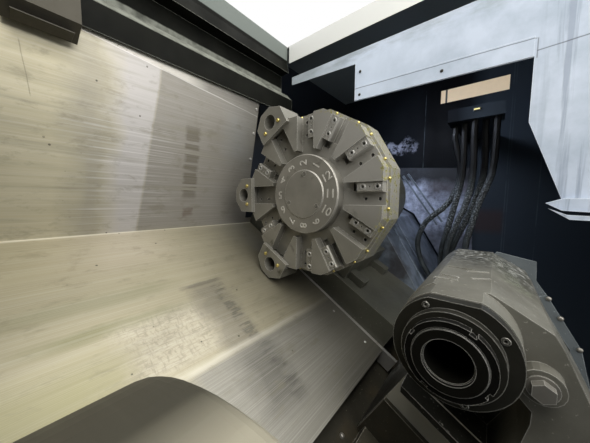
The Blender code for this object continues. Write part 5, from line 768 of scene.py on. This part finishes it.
GASKET_OVER_DOOR = 0.014
GASKET_SUNK = 0.001
GASKET_RISE = 0.005


SECTION = axes(Y, Z, X, ORIGIN)
SLANT = axes(S, N, X, ORIGIN)


def add_object(name, data):
    thing = bpy.data.objects.new(name, data)
    bpy.context.scene.collection.objects.link(thing)
    return thing


def add_mesh(name, shape, material):
    mesh = bpy.data.meshes.new(name)
    shape.to_mesh(mesh)
    shape.free()
    mesh.materials.append(material)
    return add_object(name, mesh)


def new_piece(name, shape, finish, body):
    """A finished piece from mesh data in the row frame."""
    bmesh.ops.recalc_face_normals(shape, faces=shape.faces)
    piece = add_mesh(name, shape, MATERIALS[finish])
    piece.data.shade_smooth()
    piece.data.set_sharp_from_angle(angle=SMOOTH_ANGLE)
    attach(piece, body)


def join_rings(shape, rings):
    """Faces between each ring of points and the next, where a ring can be one point many times."""
    for one, other in zip(rings, rings[1:]):
        for k, low in enumerate(one):
            after = (k + 1) % len(one)
            corners = list(dict.fromkeys([low, one[after], other[after], other[k]]))
            if len(corners) > 2:
                shape.faces.new(corners)


def add_turned(shape, matrix, profile, sides=24):
    """Turns a (height, radius) profile about the matrix's third axis."""
    rings = []
    for height, radius in profile:
        if radius == 0:
            rings.append([shape.verts.new(matrix @ Vector((0, 0, height)))] * sides)
            continue
        turns = [math.tau * k / sides for k in range(sides)]
        rings.append([shape.verts.new(matrix @ Vector((radius * math.cos(turn), radius * math.sin(turn), height)))
                      for turn in turns])
    join_rings(shape, rings)


def add_prism(shape, matrix, outline, low, high, chamfer=0):
    """An outline in the matrix's first two axes, raised along its third, with a chamfer on top."""
    points = [Vector(point) for point in outline]
    layers = [(points, low), (points, high - chamfer)]
    if chamfer:
        middle = sum(points, Vector((0, 0))) / len(points)
        layers.append(([p + (middle - p).normalized() * chamfer * CHAMFER_SLOPE for p in points], high))
    rings = [[shape.verts.new(matrix @ Vector((*p, height))) for p in layer] for layer, height in layers]
    join_rings(shape, rings)
    shape.faces.new(rings[0])
    shape.faces.new(rings[-1])


def rectangle(low_u, low_v, high_u, high_v):
    return [(low_u, low_v), (high_u, low_v), (high_u, high_v), (low_u, high_v)]


def box_outline(half_u, half_v):
    return rectangle(-half_u, -half_v, half_u, half_v)


def prism_piece(name, matrix, outline, low, high, finish, slot, chamfer=0, body="machine"):
    shape = bmesh.new()
    add_prism(shape, matrix, outline, low, high, chamfer)
    new_piece(name, shape, finish, body)


def screws_piece(name, screw, size, places, finish, body):
    """Screws of one kind and size as one piece, one on each set of axes."""
    shape = bmesh.new()
    for matrix in places:
        screw(shape, matrix, *size)
    new_piece(name, shape, finish, body)


def facing_chuck(x, y, z):
    """The axes of a face that looks back along the spindle line, at a place on it."""
    return axes(Y, Z, -X, place(x, y, z))


def socket_screw(shape, matrix, radius, height):
    """A cap screw's head with a chamfered rim and a socket, as one closed form."""
    socket = radius * 0.5
    add_turned(shape, matrix, [
        (0, 0), (0, radius), (height * 0.8, radius), (height, radius * 0.88), (height, socket),
        (height * 0.35, socket * 0.96), (height * 0.35, 0),
    ])


def dome_screw(shape, matrix, radius, height):
    profile = [(0, 0), (0, radius)]
    profile += [(height * math.sin(t), radius * math.cos(t)) for t in (0.3, 0.6, 0.9, 1.2)]
    add_turned(shape, matrix, profile + [(height, 0)], 16)


def hex_screw(shape, matrix, radius, height):
    outline = [(radius * math.cos(math.tau * k / 6), radius * math.sin(math.tau * k / 6)) for k in range(6)]
    add_prism(shape, matrix, outline, 0, height, height * 0.2)


def facing(normal, origin):
    """A matrix whose third axis is a given normal."""
    along = Vector(normal).normalized()
    across = along.cross(Z)
    if across.length < 0.01:
        across = along.cross(X)
    across.normalize()
    return axes(across, along.cross(across), along, origin)


def make_hub_numbers():
    """Raised numbers on the hub's ring, each read outward from the axis."""
    shape = bmesh.new()
    for station in range(STATIONS):
        side, outward, along, origin = station_axes(station, *NUMBER_PLACE)
        curve = bpy.data.curves.new("number", "FONT")
        curve.body = str((station + FIRST_NUMBER - 1) % STATIONS + 1)
        curve.size = NUMBER_SIZE
        curve.align_x = "CENTER"
        curve.align_y = "CENTER"
        curve.extrude = NUMBER_RISE
        curve.bevel_depth = NUMBER_ROUND
        curve.resolution_u = 3
        helper = add_object("number", curve)
        bpy.context.view_layer.update()
        mesh = bpy.data.meshes.new_from_object(helper)
        mesh.transform(axes(outward, side, -along, origin))
        shape.from_mesh(mesh)
        bpy.data.objects.remove(helper)
        bpy.data.curves.remove(curve)
        bpy.data.meshes.remove(mesh)
    new_piece("hub_numbers", shape, "number", "turret")


def make_turret_fittings():
    """Brass plugs on the disc's rim step and on the boring holders, and the cap's screws."""
    brass = bmesh.new()
    for station in range(STATIONS):
        for offset in RIM_PLUG_OFFSETS:
            side, outward, along, origin = station_axes(station + offset, *RIM_PLUG_PLACE)
            dome_screw(brass, axes(outward, along.cross(outward), -along, origin), *RIM_PLUG)
    for station in HOLDER_STATIONS:
        for across in (-HOLDER_PLUG_ACROSS, HOLDER_PLUG_ACROSS):
            side, outward, along, origin = station_axes(station, *HOLDER_PLUG_PLACE, across)
            add_turned(brass, axes(side, along.cross(side), -along, origin), HOLDER_PLUG, 16)
    new_piece("brass_plugs", brass, "brass", "turret")
    turns = [math.radians(degrees) for degrees in CAP_TURNS]
    places = [slant(CAP_FACE_X, TURRET_S + CAP_RING * math.cos(turn), CAP_RING * math.sin(turn)) for turn in turns]
    screws_piece("cap_screws", socket_screw, CAP_SCREW, [axes(S, N, -X, spot) for spot in places], "clamp", "turret")


def make_clamp_screws():
    """The two cap screws in each clamp block, with their dark sockets."""
    heads = bmesh.new()
    sockets = bmesh.new()
    for station in range(STATIONS):
        if station in HOLDER_STATIONS:
            continue
        across = -CLAMP_SCREW_ACROSS if station in TURNED_STATIONS else CLAMP_SCREW_ACROSS
        for radius in CLAMP_SCREW_RADII:
            side, outward, along, origin = station_axes(station, CLAMP_FACE_X, radius, across)
            matrix = axes(side, along.cross(side), -along, origin)
            add_turned(heads, matrix, CLAMP_HEAD)
            hex_screw(sockets, matrix, *CLAMP_SOCKET)
    new_piece("clamp_screw_heads", heads, "bright", "turret")
    new_piece("clamp_screw_sockets", sockets, "oxide", "turret")


def make_tail_details():
    """The flange's screws, the end plate's domes and its strip, and the rough marks left on the casting's top."""
    screws_piece("flange_screws", socket_screw, FLANGE_SCREW, [facing_chuck(FLANGE_FACE_X, *p) for p in FLANGE_SCREWS],
                 "oxide", "tailstock")
    screws_piece("end_plate_screws", dome_screw, DOME_SCREW, [facing_chuck(END_PLATE_X, *p) for p in END_PLATE_SCREWS],
                 "bolt", "tailstock")
    prism_piece("end_plate_strip", SLANT, STRIP_OUTER + STRIP_INNER, *STRIP_X, "end_plate", "rubber", 0, "tailstock")
    marks = bmesh.new()
    for x, y, length, turn in CAST_MARKS:
        across = Matrix.Rotation(math.radians(turn), 3, "Z") @ Y
        matrix = axes(across, Z.cross(across), Z, place(x, y, CAST_TOP_Z))
        add_prism(marks, matrix, box_outline(length / 2, CAST_MARK_HALF), 0, CAST_MARK_RISE, CAST_MARK_CHAMFER)
    new_piece("cast_marks", marks, "tail", "tailstock")


def make_sheet_screws():
    """Screws down the way cover's far edge and along its slope, and one dome in the trough, clear of the tailstock."""
    shape = bmesh.new()
    for share in COVER_EDGE_SHARES:
        y, z = COVER_EDGE_LOW + (COVER_EDGE_HIGH - COVER_EDGE_LOW) * share
        hex_screw(shape, facing(COVER_EDGE_NORMAL, place(COVER_EDGE_X, y, z)), *COVER_EDGE_SCREW)
    for x, s in COVER_SLOPE_SCREWS:
        hex_screw(shape, axes(S, -X, N, slant(x, s, COVER_SLOPE_N)), *COVER_SLOPE_SCREW)
    new_piece("cover_screws", shape, "bright", "carriage")
    screws_piece("trough_screws", dome_screw, DOME_SCREW, [axes(X, S, N, slant(*TROUGH_SCREW_PLACE))], "bolt",
                 "machine")


def make_bulkhead_details():
    """A folded lap along the bulkhead's lower edge, its dark screws, and the second fold under the ledge."""
    shape = bmesh.new()
    for outline, across in ((BULKHEAD_LAP, BULKHEAD_LAP_X), (BULKHEAD_FOLD, BULKHEAD_FOLD_X)):
        add_prism(shape, SECTION, outline, *across)
    new_piece("bulkhead_laps", shape, "blue_grey", "machine")
    places = [facing_chuck(BULKHEAD_SCREWS_X, *spot) for spot in BULKHEAD_SCREWS]
    screws_piece("bulkhead_screws", dome_screw, BULKHEAD_SCREW, places, "oxide", "machine")


def bar_outline(start, end, half):
    """A straight bar between two places, as an outline."""
    start, end = Vector(start), Vector(end)
    across = (end - start).normalized().orthogonal() * half
    return [tuple(p) for p in (start - across, end - across, end + across, start + across)]


def make_rear_shield():
    """The shield on the end wall above the right way covers, clear of them as they slide, with its two rails."""
    prism_piece("rear_shield", SLANT, SHIELD, SHIELD_X, END_WALL_X + SHIELD_SUNK, "shield", "blue_grey_paint")
    rails = bmesh.new()
    for start, end in SHIELD_RAILS:
        outline = bar_outline(start, end, RAIL_HALF)
        add_prism(rails, facing_chuck(SHIELD_X, 0, 0), outline, -SEATED, RAIL_RISE, RAIL_CHAMFER)
    new_piece("shield_rails", rails, "navy", "machine")


def make_window_film():
    """The amber film over the end wall's window, glowing as painted light from outside, with its upright bar."""
    prism_piece("window_film", SECTION, rectangle(*FILM), *FILM_X, "amber", "glass")
    prism_piece("window_bar", SECTION, rectangle(*FILM_BAR), *FILM_BAR_X, "clamp", "trim_paint", FILM_BAR_CHAMFER)


def make_wall_indicator():
    """The small yellow indicator on the block that the hoses hang from."""
    front = facing_chuck(HANGER_X, *INDICATOR_PLACE)
    case_chamfer, face_chamfer = INDICATOR_CHAMFERS
    prism_piece("indicator_case", front, box_outline(*INDICATOR_CASE), -SEATED, INDICATOR_RISE, "oxide", "trim_paint",
                case_chamfer)
    prism_piece("indicator_face", front, box_outline(*INDICATOR_FACE), INDICATOR_RISE - SEATED, INDICATOR_TOP,
                "indicator", "glass", face_chamfer)


def make_lamp():
    down = axes(X, Y, -Z, place(*LENS_PLACE))
    prism_piece("lamp_lens", down, box_outline(*LENS_HALF), 0, LENS_RISE, "lens", "glass", LENS_RISE / 2)


def add_louvres(shape, origin, width, rows):
    """A column of pressed hoods, each open at its lower edge, on a sheet that faces the rear."""
    for row in range(rows):
        middle = Vector(origin) + Z * LOUVRE_PITCH * (row - (rows - 1) / 2)
        add_prism(shape, axes(Z, Y, -X, middle), LOUVRE_HOOD, -width / 2, width / 2)


def make_outside_vents():
    """Louvres on the electrical cabinet's door and low on the rear cover."""
    cabinet = bmesh.new()
    low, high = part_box("cabinet_door")
    middle = (low[0] + high[0]) / 2
    width, rows, heights = CABINET_LOUVRES
    for z in heights:
        add_louvres(cabinet, (middle, CABINET_FACE_Y, z), width, rows)
    new_piece("cabinet_louvres", cabinet, "outer", "cabinet_leaf")
    rear = bmesh.new()
    width, rows, columns = REAR_LOUVRES
    for x in columns:
        add_louvres(rear, (x, REAR_FACE_Y, REAR_LOUVRES_Z), width, rows)
    new_piece("rear_louvres", rear, "outer", "machine")


def make_rear_hatch():
    """The service hatch on the rear cover, held by eight screws."""
    half_width, half_height = HATCH_HALF
    matrix = axes(-X, Z, Y, Vector((HATCH_PLACE[0], REAR_FACE_Y, HATCH_PLACE[1])))
    prism_piece("rear_hatch", matrix, box_outline(*HATCH_HALF), 0, HATCH_THICK, "outer", "outer_paint", HATCH_THICK / 2)
    across, up, seat = half_width - HATCH_INSET, half_height - HATCH_INSET, HATCH_THICK - SEATED
    spots = [matrix @ Vector((u * across, v * up, seat)) for u in (-1, 0, 1) for v in (-1, 0, 1) if u or v]
    screws_piece("rear_hatch_screws", dome_screw, HATCH_SCREW, [facing(Y, spot) for spot in spots], "bolt", "machine")


def make_door_gasket():
    """The rubber frame that holds the sliding door's window, mitred at its corners."""
    low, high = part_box("door_window")
    inner, outer = [rectangle(low[0] + inset, low[2] + inset, high[0] - inset, high[2] - inset)
                    for inset in (GASKET_OVER_PANE, -GASKET_OVER_DOOR)]
    shape = bmesh.new()
    matrix = axes(X, Z, -Y, Vector((0, DOOR_FACE_Y, 0)))
    for k in range(4):
        side = [outer[k], outer[(k + 1) % 4], inner[(k + 1) % 4], inner[k]]
        add_prism(shape, matrix, side, -GASKET_SUNK, GASKET_RISE)
    new_piece("window_gasket", shape, "rubber", "door")


# Floor, light and camera. A light has its name, place, target, size, power, colour and share of shine

FLOOR_HALF = 14
SKY = {"Color": (0.8, 0.86, 0.95, 1), "Strength": 0.55}
WHITE = {"Color": (1, 1, 1, 1), "Strength": 1}
LIGHTS = (
    ("overhead", (0.35, -0.15, 1.9), (0.35, 0.25, 0), (2.2, 1.6), 42, (1, 0.98, 0.92), 0.5),
    ("doorway", (0.2, -2.6, 1.2), (0.3, 0.3, 0.1), (2.6, 1.8), 70, (1, 0.98, 0.94), 0.6),
    ("work_lamp", (-0.08, -0.2, 0.72), (0.6, 0.3, 0.2), (0.5, 0.5), 5, (1, 0.97, 0.9), 0.15),
    ("far_lamp", (1.05, 0.38, 0.78), (1.45, 0.24, 0), (0.25, 0.25), 4.5, (0.74, 0.82, 1), 0.1),
    ("rear_fill", (0, 4, 1.5), (0, 0, 0), (3, 2), 60, (0.95, 0.97, 1), 1),
    ("side_fill", (4.5, -1, 1.5), (0, 0, 0), (3, 2), 70, (0.97, 0.98, 1), 1),
)
CAMERA_PLACE = (-0.04518, -0.037965, 0.224929)
CAMERA_ANGLES = (39.391, 4.721, -0.436)
CAMERA_LENS = 14.714


def make_stage():
    g = Graph("floor_paint")
    g.mottle((0.86, 0.86, 0.85), (0.8, 0.8, 0.79), 0.3, 0.7, 0.6, 4)
    shape = bmesh.new()
    shape.faces.new([shape.verts.new((x, y, 0)) for x, y in box_outline(FLOOR_HALF, FLOOR_HALF)])
    piece = add_mesh("floor", shape, g.finish(0.55))


def make_world():
    """A soft bluish sky as light, and plain white for what is seen directly, through glass or as shine."""
    world = bpy.data.worlds.new("studio")
    bpy.context.scene.world = world
    world.use_nodes = True
    tree = world.node_tree
    tree.nodes.clear()
    rays = add_node(tree, "LightPath").outputs
    seen = rays["Is Camera Ray"]
    for kind in ("Is Transmission Ray", "Is Glossy Ray"):
        seen = add_node(tree, "Math", {0: seen, 1: rays[kind]}, operation="MAXIMUM").outputs[0]
    sky, white = [add_node(tree, "Background", look).outputs[0] for look in (SKY, WHITE)]
    blend = add_node(tree, "MixShader", {"Fac": seen, 1: sky, 2: white}).outputs[0]
    add_node(tree, "OutputWorld", {"Surface": blend})


def make_light(name, where, target, size, power, colour, gloss):
    data = bpy.data.lights.new(name, "AREA")
    data.specular_factor = gloss
    data.shape = "RECTANGLE"
    data.size, data.size_y = size
    data.energy = power
    data.color = colour
    lamp = add_object(name, data)
    lamp.location = place(*where)
    lamp.rotation_mode = "QUATERNION"
    lamp.rotation_quaternion = (place(*target) - place(*where)).to_track_quat("-Z", "Y")


def make_camera():
    yaw, pitch, roll = [math.radians(angle) for angle in CAMERA_ANGLES]
    forward = Vector((math.cos(pitch) * math.cos(yaw), math.cos(pitch) * math.sin(yaw), -math.sin(pitch)))
    right = Vector((math.sin(yaw), -math.cos(yaw), 0))
    up = right.cross(forward)
    turned_right = right * math.cos(roll) - up * math.sin(roll)
    turned_up = right * math.sin(roll) + up * math.cos(roll)
    data = bpy.data.cameras.new("photo_camera")
    data.lens = CAMERA_LENS
    data.sensor_width = 36
    data.clip_start = 0.01
    data.clip_end = 100
    camera = add_object("photo_camera", data)
    camera.rotation_mode = "QUATERNION"
    camera.rotation_quaternion = Matrix((turned_right, turned_up, -forward)).transposed().to_quaternion()
    camera.location = place(*CAMERA_PLACE)
    bpy.context.scene.camera = camera


def main():
    make_camera()
    make_world()
    for light in LIGHTS:
        make_light(*light)
    make_stage()
    dress_nodes()
    make_hub_numbers()
    make_turret_fittings()
    make_clamp_screws()
    make_tail_details()
    make_sheet_screws()
    make_bulkhead_details()
    make_rear_shield()
    make_window_film()
    make_wall_indicator()
    make_lamp()
    make_outside_vents()
    make_rear_hatch()
    make_door_gasket()
    bpy.context.scene.view_settings.view_transform = "Standard"


main()
